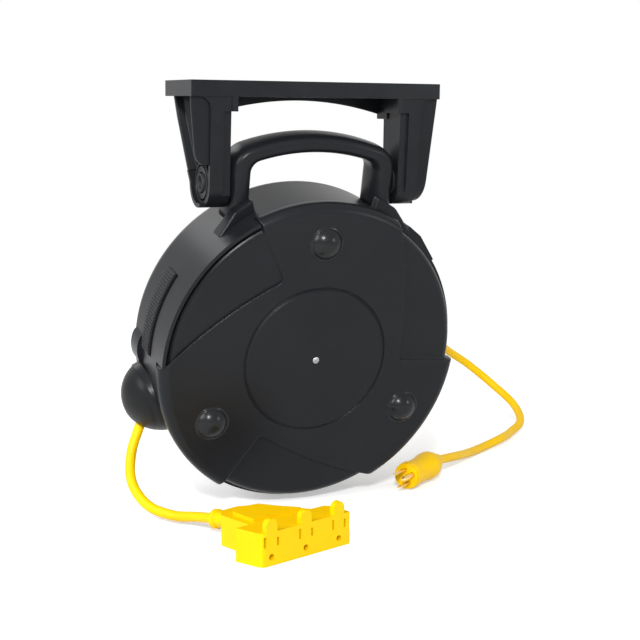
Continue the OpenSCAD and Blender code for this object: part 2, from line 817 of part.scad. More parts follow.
module handle_screws() {
    color(steel) reel() for (s = [-1, 1], y = foot_y)
        translate([s * foot_x, y, foot_seat_z - 2.45]) {
            cylinder(r = foot_head_r, h = 2.4);
            cylinder(r = 1.5, h = 18);
        }
}

module pivot_screws() {
    color(steel) reel() for (s = [0, 1]) mirror([s, 0, 0])
        translate([0, pivot_back, pivot_up]) difference() {
            union() {
                bar_x(handle_half - 18, 0, 0, pivot_r, bush_end - handle_half + 18.2);
                bar_x(bush_end + 0.2, 0, 0, head_r, head_t);
            }
            bar_x(bush_end + head_t - 3.5, 0, 0, 3.4, 5, $fn = 6);
        }
}

// ---------------------------------------------------------------- outlet

pin_r = 1.5;
pair_t = -19;
cross_t = -31;
roller_off = cord_r + 0.6 + roller_r;
pair_l = 20;
cross_l = 24;

module roller_y(side) {
    bar_y(run_at(pair_t, side * roller_off), outlet_y - pair_l / 2, roller_r, pair_l);
}

// A bar across the cord's run, in the plane of the drum
module bar_cross(t, y, r, l) {
    c = run_at(t, 0);
    translate([c[0], y, c[1]])
        rotate([0, 90 - atan2(run_side[1], run_side[0]), 0])
            translate([0, 0, -l / 2]) cylinder(r = r, h = l);
}

module outlet_guide() {
    color(black) reel() difference() {
        union() {
            intersection() {
                plate(outlet_y - guide_half, 2 * guide_half) guide_outline();
                turned() square([wall_r, housing_depth]);
            }
            outlet_lip();
        }
        // Nothing of the body stands past the mouth's plane
        translate(at(mouth_c, outlet_y)) rotate([0, 90 - mouth_angle, 0])
            translate([-ball_flat_r - 2, -ball_flat_r - 2, 0])
                cube([2 * ball_flat_r + 4, 2 * ball_flat_r + 4, ball_h]);
        // Passage for the cord, and pockets for the rollers
        translate(at(run_at(-60), outlet_y)) rotate([0, 90 - cord_out_angle, 0])
            cylinder(r = cord_r + 1.2, h = 90);
        plate(outlet_y - pair_l / 2 - 0.5, pair_l + 1)
            translate(run_at(pair_t)) rotate(cord_out_angle)
                square([2 * roller_r + 1.5, 2 * (roller_off + roller_r) + 1.5], center = true);
        plate(outlet_y - roller_off - roller_r - 0.7, 2 * (roller_off + roller_r) + 1.4)
            translate(run_at(cross_t)) rotate(cord_out_angle)
                square([2 * roller_r + 1.5, cross_l + 1], center = true);
        for (s = [-1, 1]) {
            bar_y(run_at(pair_t, s * roller_off), outlet_y - guide_half + 1.5, pin_r + 0.05, 2 * guide_half);
            bar_cross(cross_t, outlet_y + s * roller_off, pin_r + 0.05, 2 * guide_w - 1);
        }
        // Clear of the winding
        turned() square([core_r + layers * cord_d + 2, housing_depth]);
    }
}

module roller_pins() {
    color(steel) reel() for (s = [-1, 1]) {
        bar_y(run_at(pair_t, s * roller_off), outlet_y - guide_half + 1.6, pin_r, 2 * guide_half - 3);
        bar_cross(cross_t, outlet_y + s * roller_off, pin_r, 2 * guide_w - 1.2);
    }
}

module roller_outer() {
    color("#d8d4c8") reel() difference() {
        roller_y(-1);
        bar_y(run_at(pair_t, -roller_off), outlet_y - 30, pin_r + run_gap, 60);
    }
}

module roller_inner() {
    color("#d8d4c8") reel() difference() {
        roller_y(1);
        bar_y(run_at(pair_t, roller_off), outlet_y - 30, pin_r + run_gap, 60);
    }
}

module roller_across(s) {
    color("#d8d4c8") reel() difference() {
        bar_cross(cross_t, outlet_y + s * roller_off, roller_r, cross_l);
        bar_cross(cross_t, outlet_y + s * roller_off, pin_r + run_gap, 60);
    }
}

module roller_front() { roller_across(-1); }

module roller_back() { roller_across(1); }

// ---------------------------------------------------------------- drum

module drum_core() {
    color(dark) reel() difference() {
        union() {
            turned() translate([core_r - core_t, core_front + seat_gap])
                square([core_t, drum_w - 2 * seat_gap]);
            for (i = [0:5])
                bar_y(polar(core_r - 7, 30 + 60 * i), core_front + seat_gap, 5, drum_w - 2 * seat_gap);
        }
        for (i = [0:5]) bar_y(polar(core_r - 7, 30 + 60 * i), 0, 1.8, housing_depth);
    }
}

// One flange with its centre boss and screw holes, and six lightening windows
module flange(y0, boss_y, boss_l) {
    difference() {
        union() {
            bar_y([0, 0], y0, flange_r, flange_t);
            bar_y([0, 0], boss_y, axle_r + 8, boss_l);
        }
        bar_y([0, 0], 0, axle_r + 3.05, housing_depth);
        for (i = [0:5]) {
            bar_y(polar(core_r - 7, 30 + 60 * i), 0, 1.8, housing_depth);
            bar_y(polar(core_r - 34, 60 * i), y0 - 1, 9, flange_t + 2);
        }
    }
}

module front_flange() {
    color(dark) reel() flange(drum_front, drum_front, 9);
}

module rear_flange() {
    color(dark) reel() flange(core_back, core_back - 6, 6 + flange_t);
}

module flange_screws() {
    color(steel) reel() for (i = [0:5]) {
        p = polar(core_r - 7, 30 + 60 * i);
        screw_y(p, drum_front - 0.05, 1.6, 16, 3.2, 1.4);
        mirror([0, 1, 0]) screw_y(p, -drum_back - 0.05, 1.6, 16, 3.2, 1.4);
    }
}

// Saw teeth all round, each with one radial face
module ratchet_outline() {
    polygon([for (i = [0:ratchet_teeth - 1], k = [0, 1])
        k == 0 ? polar(flange_r, tooth_at + i * tooth_step)
            : polar(flange_r - tooth_h, tooth_at + (i + 0.96) * tooth_step)]);
}

module ratchet_ring() {
    color(steel) reel() difference() {
        plate(ratchet_front, ratchet_t) ratchet_outline();
        bar_y([0, 0], ratchet_front - 1, flange_r - tooth_h - 9, ratchet_t + 2);
    }
}

module drum_bushes() {
    color("#e8e4d8") reel() for (y = [drum_front - 1, core_back - 6]) difference() {
        bar_y([0, 0], y, axle_r + 3, 10);
        bar_y([0, 0], y - 1, axle_r + run_gap, 14);
    }
}

spring_t = 1.1;
spring_outer = core_r - 12.3 - spring_t;
spring_inner = axle_r + 12;

// A flat spiral strip, wound evenly from the arbor to the drum
module power_spring() {
    n = 24;
    function spiral(i) = spring_inner + (spring_outer - spring_inner) * i / (n * spring_turns);
    inner = [for (i = [0:n * spring_turns]) polar(spiral(i), 360 * i / n)];
    outer = [for (i = [n * spring_turns:-1:0]) polar(spiral(i) + spring_t, 360 * i / n)];
    color("#6f7c88") reel() plate(core_front + 8, drum_w - 16) polygon(concat(inner, outer));
}

module cord_winding() {
    color(yellow) reel() turned() {
        translate([core_r + seat_gap, core_front + 0.5]) square([(layers - 0.5) * cord_d, drum_w - 1]);
        for (i = [0:turns_wide - 1])
            translate([core_r + seat_gap + (layers - 0.5) * cord_d, core_front + 0.6 + (i + 0.5) * turn_pitch])
                circle(cord_r, $fn = 48);
    }
}

// ---------------------------------------------------------------- pawl

pawl_boss_r = 4.4;
tooth_at = 29;
tooth_step = 360 / ratchet_teeth;
face_at = tooth_at + tooth_step;

module pawl() {
    tip = polar(flange_r - tooth_h + 0.6, face_at - 1);
    tip_back = polar(flange_r + 1.2, face_at - 0.8);
    hollow = polar(flange_r + 1.2, face_at - 8);
    lean = atan2(tip_back[1] - pawl_pivot[1], tip_back[0] - pawl_pivot[0]);
    color(steel) reel() difference() {
        union() {
            bar_y(pawl_pivot, pawl_y0, pawl_boss_r, pawl_t);
            plate(pawl_y0, pawl_t)
                polygon([pawl_pivot + polar(pawl_boss_r, lean - 90), tip_back + polar(2, face_at),
                    tip_back, tip, hollow, pawl_pivot + polar(pawl_boss_r, lean + 90)]);
        }
        bar_y(pawl_pivot, pawl_y0 - 1, pawl_pin_r + run_gap, 12);
    }
}

module pawl_pin() {
    color(steel) reel() bar_y(pawl_pivot, pawl_y0 - 2, pawl_pin_r, 12);
}

module pawl_spring() {
    color("#6f7c88") reel() difference() {
        bar_y(pawl_pivot, pawl_y0 - 1.9, 4, 1.6);
        bar_y(pawl_pivot, pawl_y0 - 3, pawl_pin_r + 0.2, 5);
    }
}

// ---------------------------------------------------------------- cords

// A tube of radius r swept along points; its ends are square to the first and last run
module tube(points, r, sides = 10) {
    n = len(points);
    function unit(v) = v / norm(v);
    dirs = [for (i = [0:n - 1]) unit(points[min(i + 1, n - 1)] - points[max(i - 1, 0)])];
    function across(i) = i == 0
        ? unit(cross(dirs[0], abs(dirs[0][0]) < 0.8 ? [1, 0, 0] : [0, 1, 0]))
        : let (p = across(i - 1)) unit(p - (p * dirs[i]) * dirs[i]);
    ups = [for (i = 0, p = across(0); i < n; i = i + 1,
        p = i < n ? unit(p - (p * dirs[i]) * dirs[i]) : p) p];
    rings = [for (i = [0:n - 1], k = [0:sides - 1])
        points[i] + r * (cos(360 * k / sides) * ups[i] + sin(360 * k / sides) * cross(dirs[i], ups[i]))];
    sides_faces = [for (i = [0:n - 2], k = [0:sides - 1], h = [0, 1])
        let (a = i * sides + k, b = i * sides + (k + 1) % sides, c = a + sides, d = b + sides)
        h == 0 ? [a, c, b] : [b, c, d]];
    polyhedron(points = rings, faces = concat([[for (k = [0:sides - 1]) k]], sides_faces,
        [[for (k = [sides - 1:-1:0]) (n - 1) * sides + k]]), convexity = 10);
}

// A smooth curve through the points, with m steps for each stretch
function smooth(p, m) = let (n = len(p)) concat(
    [for (i = [0:n - 2], k = [0:m - 1])
        let (a = p[max(i - 1, 0)], b = p[i], c = p[i + 1], d = p[min(i + 2, n - 1)], t = k / m)
        0.5 * ((2 * b) + (c - a) * t + (2 * a - 5 * b + 4 * c - d) * t * t
            + (3 * b - a - 3 * c + d) * t * t * t)],
    [p[n - 1]]);

// A place in the reel's frame, carried to the part's frame
function hung(v) = let (y = v[1] - pivot_back, z = v[2] - pivot_up)
    [v[0], y * cos(hang_tilt) - z * sin(hang_tilt),
        y * sin(hang_tilt) + z * cos(hang_tilt) - pivot_drop];

floor_z = -floor_drop;

// The output cord's route from the ball stop to the connector, height above the surface last
output_route = [
    [-145.6, 43.2, 49.3], [-149.2, 28.5, 28.1], [-140.9, 9.5, 12.5], [-125.1, -10.8, 7.6],
    [-109, -31.4, 10.3]
];
tap_entry = [-98, -55, 14];

// The supply cord's route from its gland to the plug, height above the surface last
supply_route = [
    [91.3, 83.2, 157], [125, 93.2, 153], [153.6, 113, 145.1], [178.2, 136.9, 135.4],
    [200.1, 162.6, 123.9], [222.6, 187.1, 110.9], [246.3, 209.7, 96.8], [272.3, 228.7, 81.6],
    [301.7, 237, 63.7], [326.6, 226.1, 41.9], [337.9, 198.1, 23.9], [328.3, 166.6, 12.1],
    [301.5, 144, 6.7], [274.8, 120.4, 7.4], [243.2, 104.3, 4.8], [214, 84.1, 6.4],
    [186.9, 61.4, 11.3]
];
plug_entry = [157, 42, 15];

// Turns a route's heights into the part's frame
function lying(route) = [for (p = route) [p[0], p[1], p[2] + floor_z]];

module output_cord() {
    start = [for (t = [-64, -32, 0, 27]) let (p = run_at(t)) hung([p[0], outlet_y, p[1]])];
    color(yellow) tube(smooth(concat(start, lying(concat(output_route, [tap_entry]))), 3), cord_r);
}

module supply_cord() {
    start = [hung([terminal_r - 5, gland_y, gland_z]), hung([gland_end, gland_y, gland_z])];
    color(yellow) tube(smooth(concat(start, lying(concat(supply_route, [plug_entry]))), 3), cord_r);
}

ball_r = (ball_flat_r * ball_flat_r + ball_h * ball_h) / (2 * ball_h);
ball_screw_off = 17;

// One half of the ball stop: side -1 is the front half, side 1 the back half
module ball_half(side) {
    color(dark) reel() difference() {
        translate(at(mouth_c, outlet_y)) rotate([0, 90 - mouth_angle, 0]) intersection() {
            translate([0, 0, ball_h - ball_r]) sphere(ball_r);
            translate([-50, side < 0 ? -100 : seat_gap / 2, 0.1]) cube([100, 100 - seat_gap / 2, 50]);
        }
        translate(at(run_at(-30), outlet_y)) rotate([0, 90 - cord_out_angle, 0])
            cylinder(r = cord_r + 0.15, h = 90);
        for (s = [-1, 1]) {
            p = mouth_c + 7 * mouth_n + s * ball_screw_off * [-mouth_n[1], mouth_n[0]];
            bar_y(p, 0, 1.7, housing_depth);
            bar_y(p, outlet_y + 10, 3.5, 40);
        }
    }
}

module ball_stop_front() { ball_half(-1); }

module ball_stop_back() { ball_half(1); }

module ball_screws() {
    color(steel) reel() for (s = [-1, 1]) {
        p = mouth_c + 7 * mouth_n + s * ball_screw_off * [-mouth_n[1], mouth_n[0]];
        mirror([0, 1, 0]) screw_y(p, -outlet_y - 10 - seat_gap / 2, 1.6, 18, 3.2, 2.4);
    }
}

// ---------------------------------------------------------------- connector

tap_corner = [-95.4, -142.8];
tap_turn = 18.9;
first_outlet = 9.3;
blade_gap = 12.7;
slot_z = 15.2;
tab_r = 5.6;
tab_t = 5;

// Carries the connector's own frame, X along its face and Y back into it, to its place
module tap_place() {
    translate([tap_corner[0], tap_corner[1], floor_z]) rotate([0, 0, tap_turn]) children();
}

module tap_body() {
    color(yellow) tap_place() difference() {
        union() {
            // The bar that holds the outlets, with a rounded tab over each
            linear_extrude(tap_h) polygon([[-0.8, 4], [0.8, 1.2], [4, 0], [tap_l, 0], [tap_l, tap_d - 5],
                [tap_l - 5, tap_d], [-5.3, tap_d]]);
            for (i = [0:2]) translate([first_outlet + i * outlet_pitch, 0, 0]) {
                translate([0, tab_t, tap_h + 5]) rotate([90, 0, 0]) cylinder(r = tab_r, h = tab_t);
                translate([-tab_r, 0, tap_h - 2]) cube([2 * tab_r, tab_t, 7]);
            }
            // The wedge-shaped back that narrows to the cord, with a raised top
            translate([0, 0, 1]) linear_extrude(tap_h - 2)
                polygon([[10, tap_d - 1], [tap_l - 14, tap_d - 1], [tap_l - 30, tap_d + 22],
                    [50, tap_d + 40], [34, tap_d + 47], [17, tap_d + 46], [9, tap_d + 36]]);
            linear_extrude(tap_h + 2) polygon([[16, tap_d + 4], [tap_l - 26, tap_d + 4],
                [tap_l - 38, tap_d + 20], [46, tap_d + 34], [22, tap_d + 38], [16, tap_d + 30]]);
        }
        for (i = [0:2]) translate([first_outlet + i * outlet_pitch, 0, 0]) {
            for (s = [-1, 1]) translate([s * blade_gap / 2 - 1.1, -1, slot_z]) cube([2.2, 15, s < 0 ? 8.4 : 6.8]);
            translate([0, -1, 7]) rotate([-90, 0, 0]) cylinder(r = 2.6, h = 15);
        }
    }
}

tap_entry_dir = lying([tap_entry])[0] - lying(output_route)[len(output_route) - 1];

// Ringed collar where the cord enters the connector
module tap_gland() {
    from = lying([tap_entry])[0];
    reach = 12;
    dir = tap_entry_dir / norm(tap_entry_dir);
    color(yellow) difference() {
        translate(from - 7 * dir) rotate([0, acos(dir[2]), atan2(dir[1], dir[0])]) {
            cylinder(r = 8.2, h = 5);
            translate([0, 0, 4.9]) cylinder(r = 7, h = reach + 4);
        }
        translate(from - 8 * dir) rotate([0, acos(dir[2]), atan2(dir[1], dir[0])])
            cylinder(r = cord_r + 0.05, h = 8.2);
    }
}

module tap_contacts() {
    color(brass) tap_place() for (i = [0:2]) translate([first_outlet + i * outlet_pitch, 0, 0]) {
        for (s = [-1, 1]) for (d = [-1, 1])
            translate([s * blade_gap / 2 + d * 0.8 - 0.2, 6, slot_z + 0.6]) cube([0.4, 7.8, 5.6]);
        translate([0, 6, 7]) rotate([-90, 0, 0]) difference() {
            cylinder(r = 2.55, h = 7.8);
            translate([0, 0, -1]) cylinder(r = 2.1, h = 10);
        }
    }
}

// ---------------------------------------------------------------- plug

plug_dir = lying([plug_entry])[0] - lying(supply_route)[len(supply_route) - 1];
plug_yaw = atan2(plug_dir[1], plug_dir[0]);
ground_drop = 6.9;
plug_roll = 20;
plug_pitch = 1.9;

// Carries the plug's own frame, Z out through its blades, to its place on the surface
module plug_place() {
    translate([plug_entry[0], plug_entry[1], floor_z + plug_entry[2]])
        rotate([0, 0, plug_yaw]) rotate([0, 90 + plug_pitch, 0]) rotate([0, 0, plug_roll]) children();
}

module plug_body() {
    color(yellow) plug_place() difference() {
        rotate_extrude() polygon([[0, 0], [6.6, 0], [7.4, 4], [9, 8], [plug_r - 1.6, 13], [plug_r, 18],
            [plug_r, 25], [plug_r - 1.4, 34], [plug_r - 1.6, plug_l - 9], [plug_r - 0.6, plug_l - 5],
            [plug_r - 0.6, plug_l], [0, plug_l]]);
        translate([0, 0, -1]) cylinder(r = cord_r + 0.05, h = 4);
    }
}

module plug_face() {
    color(yellow) plug_place() translate([0, 0, plug_l + seat_gap]) difference() {
        cylinder(r = plug_r - 1.2, h = 3);
        for (s = [-1, 1]) translate([s * blade_gap / 2 - 0.85, -3.3, -1]) cube([1.7, 6.6, 6]);
        translate([0, ground_drop, -1]) cylinder(r = 2.5, h = 6);
    }
}

module plug_blades() {
    color(brass) plug_place() for (s = [-1, 1])
        translate([s * blade_gap / 2 - 0.75, -3.2, plug_l + 0.2]) cube([1.5, 6.4, 18]);
}

module plug_ground_pin() {
    color(brass) plug_place() translate([0, ground_drop, plug_l + 0.2]) {
        cylinder(r = 2.4, h = 18);
        translate([0, 0, 18]) cylinder(r1 = 2.4, r2 = 1, h = 2.5);
    }
}

mounting_bracket();
pivot_bushes();
friction_washers();
rear_housing();
front_cover();
cover_screws();
centre_screw();
carry_handle();
handle_screws();
pivot_screws();
ribbed_strip();
axle();
axle_nut();
terminal_cover();
terminal_screws();
supply_gland();
brush_holder();
brushes();
outlet_guide();
roller_pins();
pawl_pin();
pawl_spring();
drum_core();
front_flange();
rear_flange();
flange_screws();
ratchet_ring();
drum_bushes();
power_spring();
slip_ring_plate();
slip_rings();
cord_winding();
pawl();
roller_outer();
roller_inner();
roller_front();
roller_back();
output_cord();
ball_stop_front();
ball_stop_back();
ball_screws();
tap_body();
tap_gland();
tap_contacts();
supply_cord();
plug_body();
plug_face();
plug_blades();
plug_ground_pin();
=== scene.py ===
"""Retractable cord reel on its ceiling bracket: finishes, cords and fine forms round the CAD frame.

Sizes are in millimetres, and points of the row frame in metres. The reel's own frame, with X
right, Y back from the front face and Z up from the drum axis, is carried to its hanging place
by REEL.
"""
import json
import math

import bmesh
import bpy
import numpy as np
from mathutils import Matrix, Vector


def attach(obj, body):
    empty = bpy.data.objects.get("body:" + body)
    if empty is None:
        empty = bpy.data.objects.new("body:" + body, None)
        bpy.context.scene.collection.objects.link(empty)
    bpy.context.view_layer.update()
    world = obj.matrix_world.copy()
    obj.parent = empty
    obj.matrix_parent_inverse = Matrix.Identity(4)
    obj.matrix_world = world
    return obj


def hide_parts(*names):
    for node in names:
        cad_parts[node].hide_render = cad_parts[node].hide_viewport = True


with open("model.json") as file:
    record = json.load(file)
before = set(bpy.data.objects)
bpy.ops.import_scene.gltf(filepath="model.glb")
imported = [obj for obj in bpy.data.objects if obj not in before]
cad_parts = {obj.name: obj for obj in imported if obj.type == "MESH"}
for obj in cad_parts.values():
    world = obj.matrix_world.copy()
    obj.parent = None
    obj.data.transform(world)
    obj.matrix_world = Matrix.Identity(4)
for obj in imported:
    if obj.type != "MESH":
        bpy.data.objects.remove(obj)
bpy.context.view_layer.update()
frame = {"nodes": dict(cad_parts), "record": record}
MM = 0.001

# ------------------------------------------------------------------ sizes that pieces share

# The swing axis: above the drum axis, behind the front face, under the bracket's top
PIVOT_UP, PIVOT_BACK, PIVOT_DROP = 144.0, 52.5, 83.5
HANG_TILT = math.radians(12)
FLOOR = -370.0
WALL_R, INNER_R, WALL_FRONT = 137.0, 134.0, 17.0
CORD_R = 4.4
# The outlet: its depth and its mouth's place on the wall, then the ways it and the cord face
OUTLET_Y, MOUTH_R, MOUTH_AT = 57.0, WALL_R - 0.4, 201.3
MOUTH_ANGLE, CORD_OUT = 209.0, 252.0
TERMINAL_R, TERMINAL_H, HOUSING_DEPTH = 52.0, 20.0, 97.0
GLAND_Y, GLAND_END = HOUSING_DEPTH + TERMINAL_H / 2, TERMINAL_R + 22

REEL = (
    Matrix.Translation((0, 0, -PIVOT_DROP * MM))
    @ Matrix.Rotation(HANG_TILT, 4, "X")
    @ Matrix.Translation((0, -PIVOT_BACK * MM, -PIVOT_UP * MM))
)


def polar(r, degrees):
    """A place on the reel's face, as (x, z), from its radius and direction."""
    a = math.radians(degrees)
    return np.array([r * math.cos(a), r * math.sin(a)])


def hung(x, y, z):
    """A place in the reel's frame, in millimetres, as a point of the row frame."""
    return REEL @ Vector((x * MM, y * MM, z * MM))


def in_row(x, y, z):
    """A place in the row frame, in millimetres, as a point in metres."""
    return Vector((x * MM, y * MM, z * MM))


MOUTH = polar(MOUTH_R, MOUTH_AT)
RUN = polar(1, CORD_OUT)


def run_at(t):
    """A place along the cord's straight run through the outlet."""
    x, z = MOUTH + t * RUN
    return hung(x, OUTLET_Y, z)


def placed(name, data):
    """A new object in the scene."""
    made = bpy.data.objects.new(name, data)
    bpy.context.scene.collection.objects.link(made)
    return made


# ------------------------------------------------------------------ camera


def make_camera():
    right = Vector((0.91549, -0.40217, 0.01179))
    down = Vector((-0.05240, -0.14823, -0.98756))
    ahead = Vector((0.39892, 0.90348, -0.15678))
    stand = Matrix.Translation((-0.4574, -1.0659, -0.0195))
    data = bpy.data.cameras.new("camera")
    data.sensor_width, data.lens = 36.0, 75.95
    data.clip_start, data.clip_end = 0.05, 50
    camera = placed("camera", data)
    camera.matrix_world = stand @ Matrix((right, -down, -ahead)).transposed().to_4x4()
    bpy.context.scene.camera = camera


make_camera()

# ------------------------------------------------------------------ node recipes


class Value:
    """A socket that holds a number. Each operator on it adds a Math node to its recipe."""

    def __init__(self, recipe, socket):
        self.recipe, self.socket = recipe, socket

    def _maths(self, operation, a, b):
        made = self.recipe.node("ShaderNodeMath", {"operation": operation}, a, b)
        return Value(self.recipe, made.outputs[0])

    def __add__(self, other):
        return self._maths("ADD", self, other)

    def __mul__(self, other):
        return self._maths("MULTIPLY", self, other)

    def __truediv__(self, other):
        return self._maths("DIVIDE", self, other)

    def __rtruediv__(self, other):
        return self._maths("DIVIDE", other, self)

    def __pow__(self, other):
        return self._maths("POWER", self, other)

    def __rpow__(self, other):
        return self._maths("POWER", other, self)

    __radd__, __rmul__ = __add__, __mul__

    def ramp(self, low, high):
        """0 at low and 1 at high, smoothly."""
        made = self.recipe.node(
            "ShaderNodeMapRange", {"interpolation_type": "SMOOTHSTEP"}, self, low, high, 0.0, 1.0
        )
        return Value(self.recipe, made.outputs[0])


class Recipe:
    """A node tree that is written as a short recipe."""

    family = "ShaderNode"

    def __init__(self, tree):
        self.tree = tree

    def node(self, kind, settings, *values, **named):
        """Adds a node: its settings first, then the values or links of its sockets."""
        made = self.tree.nodes.new(kind if "Node" in kind else self.family + kind)
        for key, value in settings.items():
            setattr(made, key, value)
        sockets = dict(enumerate(values))
        sockets.update({key.replace("_", " "): value for key, value in named.items()})
        for key, value in sockets.items():
            for each in value if isinstance(value, list) else [value]:
                self.feed(made.inputs[key], each)
        return made

    def feed(self, socket, value):
        if isinstance(value, Value):
            value = value.socket
        if isinstance(value, bpy.types.NodeSocket):
            self.tree.links.new(value, socket)
        elif value is not None:
            socket.default_value = value


class Finish(Recipe):
    """A material, with the patterns that the reel's finishes share."""

    def __init__(self, name):
        self.material = bpy.data.materials.new(name)
        self.material.use_nodes = True
        super().__init__(self.material.node_tree)
        self.shader = self.tree.nodes["Principled BSDF"]
        self.place = self.node("TexCoord", {}).outputs["Object"]

    def set(self, **inputs):
        for key, value in inputs.items():
            self.feed(self.shader.inputs[key.replace("_", " ")], value)

    def stretched(self, x, y, z):
        return self.node("Mapping", {}, self.place, Scale=(x, y, z)).outputs[0]

    def noise(self, scale, detail=3.0, rough=0.5, place=None):
        made = self.node(
            "TexNoise", {}, Vector=place or self.place, Scale=scale, Detail=detail, Roughness=rough
        )
        return Value(self, made.outputs["Fac"])

    def edges(self, low, high):
        """1 on the outer edges, 0 on the flats."""
        return Value(self, self.node("NewGeometry", {}).outputs["Pointiness"]).ramp(low, high)

    def mix(self, factor, a, b):
        """A blend of two colours, which are the Mix node's seventh and eighth sockets."""
        made = self.node("Mix", {"data_type": "RGBA"}, factor, *[None] * 5, a, b)
        return made.outputs[2]

    def bump(self, height, strength, distance):
        made = self.node("Bump", {}, Strength=strength, Distance=distance, Height=height)
        return made.outputs[0]


def rgb(r, g, b):
    return (r, g, b, 1.0)


# ------------------------------------------------------------------ finishes


def moulded(name, colour, dust, rough, grain=900.0, bump=0.05, gloss=0.5):
    """Moulded plastic: fine spark-eroded grain, slow sheen changes, paler rubbed edges."""
    f = Finish(name)
    f.shader.inputs["Specular IOR Level"].default_value = gloss
    slow = f.noise(14, 3)
    fine = f.noise(grain, 2, 0.6)
    rubbed = f.edges(0.52, 0.60) * f.noise(60, 4).ramp(0.35, 0.7)
    f.set(
        Base_Color=f.mix(slow.ramp(0.35, 0.75) * 0.35 + rubbed * 0.4, colour, dust),
        Roughness=slow * 0.10 + fine * 0.06 + (rough - 0.08),
        Normal=f.bump(fine, bump, 0.00015),
    )
    return f.material


def metal(name, colour, worn, rough, stretch=(1, 1, 1)):
    """Plated or drawn metal with fine drawing marks and a slow change of sheen."""
    f = Finish(name)
    marks = f.noise(500, 3, 0.6, f.stretched(*stretch))
    slow = f.noise(40, 3)
    f.set(
        Base_Color=f.mix(slow.ramp(0.4, 0.8), colour, worn),
        Metallic=1.0,
        Roughness=marks * 0.16 + slow * 0.1 + (rough - 0.13),
        Normal=f.bump(marks, 0.06, 0.0001),
    )
    return f.material


def jacket(name, colour, dust):
    """A cord's extruded jacket: smooth rubber with fine pits."""
    f = Finish(name)
    slow = f.noise(22, 3)
    pits = f.noise(1400, 2, 0.7)
    f.set(
        Base_Color=f.mix(slow.ramp(0.35, 0.75), colour, dust),
        Roughness=slow * 0.08 + pits * 0.08 + 0.32,
        Normal=f.bump(pits, 0.08, 0.0001),
    )
    f.shader.inputs["Specular IOR Level"].default_value = 0.15
    f.shader.inputs["Subsurface Weight"].default_value = 0.04
    f.shader.inputs["Subsurface Scale"].default_value = 0.002
    return f.material


BLACK = moulded(
    "black_moulding", rgb(0.0082, 0.0090, 0.0106), rgb(0.0125, 0.0136, 0.0155), 0.31, gloss=0.13
)
POLISHED = moulded(
    "polished_black", rgb(0.0070, 0.0078, 0.0090), rgb(0.0105, 0.0115, 0.0130), 0.25,
    bump=0.02, gloss=0.2,
)
DARK = moulded(
    "dark_insert", rgb(0.0075, 0.0080, 0.0088), rgb(0.0130, 0.0135, 0.0146), 0.42, gloss=0.14
)
NYLON = moulded("natural_nylon", rgb(0.78, 0.76, 0.68), rgb(0.70, 0.67, 0.58), 0.42)
RUBBER = moulded(
    "ball_rubber", rgb(0.0060, 0.0064, 0.0070), rgb(0.0110, 0.0116, 0.0126), 0.38,
    grain=500, bump=0.1, gloss=0.14,
)
YELLOW = moulded(
    "yellow_moulding", rgb(0.80, 0.49, 0.0), rgb(0.75, 0.43, 0.0), 0.40,
    grain=1100, bump=0.04, gloss=0.12,
)
BOARD = moulded(
    "phenolic_board", rgb(0.20, 0.085, 0.035), rgb(0.13, 0.05, 0.02), 0.5, grain=300, bump=0.1
)
CARBON = moulded(
    "brush_carbon", rgb(0.03, 0.03, 0.031), rgb(0.05, 0.05, 0.05), 0.55, grain=600, bump=0.1
)
JACKET = jacket("yellow_jacket", rgb(0.82, 0.51, 0.0), rgb(0.77, 0.44, 0.0))
ZINC = metal("zinc_plate", rgb(0.40, 0.41, 0.43), rgb(0.30, 0.31, 0.33), 0.36)
SPRING = metal("blued_strip", rgb(0.20, 0.25, 0.34), rgb(0.30, 0.26, 0.22), 0.34, (1, 1, 6))
BRASS = metal("drawn_brass", rgb(0.80, 0.56, 0.22), rgb(0.70, 0.46, 0.18), 0.30, (1, 1, 5))
FIBRE = moulded(
    "grey_washer_fibre", rgb(0.014, 0.0145, 0.0155), rgb(0.024, 0.0245, 0.0255), 0.6,
    grain=700, bump=0.12, gloss=0.2,
)

BY_SLOT = {
    "black_plastic": BLACK,
    "dark_plastic": DARK,
    "bush_plastic": NYLON,
    "black_rubber": RUBBER,
    "zinc_steel": ZINC,
    "spring_steel": SPRING,
    "brass": BRASS,
    "brush_board": BOARD,
    "carbon": CARBON,
    "yellow_jacket": JACKET,
    "yellow_moulding": YELLOW,
}
SLOT_OF = {p["node"]: p["material_slot"] for p in frame["record"]["subparts"]}
BODY_OF = {n: b for b, ns in frame["record"]["behaviour"]["bodies"].items() for n in ns}
FIBRE_NODES = ("friction_washers", "pivot_bushes")

for node_name, node_object in frame["nodes"].items():
    node_object.data.materials.clear()
    node_object.data.materials.append(
        FIBRE if node_name in FIBRE_NODES else BY_SLOT[SLOT_OF[node_name]]
    )

# ------------------------------------------------------------------ cords

# Along the run through the outlet: where the cord shows inside it, leaves the ball and bends
FEED_FROM, BALL_END, BEND_FROM = -64, 24, 27
# Beyond it, over the floor, with the height above it last
OUTPUT_ROUTE = [
    (-145.6, 43.2, 49.3), (-149.2, 28.5, 28.1), (-140.9, 9.5, 12.5), (-125.1, -10.8, 7.6),
    (-109, -31.4, 10.3), (-98, -55, 14),
]
SUPPLY_ROUTE = [
    (91.3, 83.2, 157), (125, 93.2, 153), (153.6, 113, 145.1), (178.2, 136.9, 135.4),
    (200.1, 162.6, 123.9), (222.6, 187.1, 110.9), (246.3, 209.7, 96.8), (272.3, 228.7, 81.6),
    (301.7, 237, 63.7), (326.6, 226.1, 41.9), (337.9, 198.1, 23.9), (328.3, 166.6, 12.1),
    (301.5, 144, 6.7), (274.8, 120.4, 7.4), (243.2, 104.3, 4.8), (214, 84.1, 6.4),
    (186.9, 61.4, 11.3), (157, 42, 15),
]


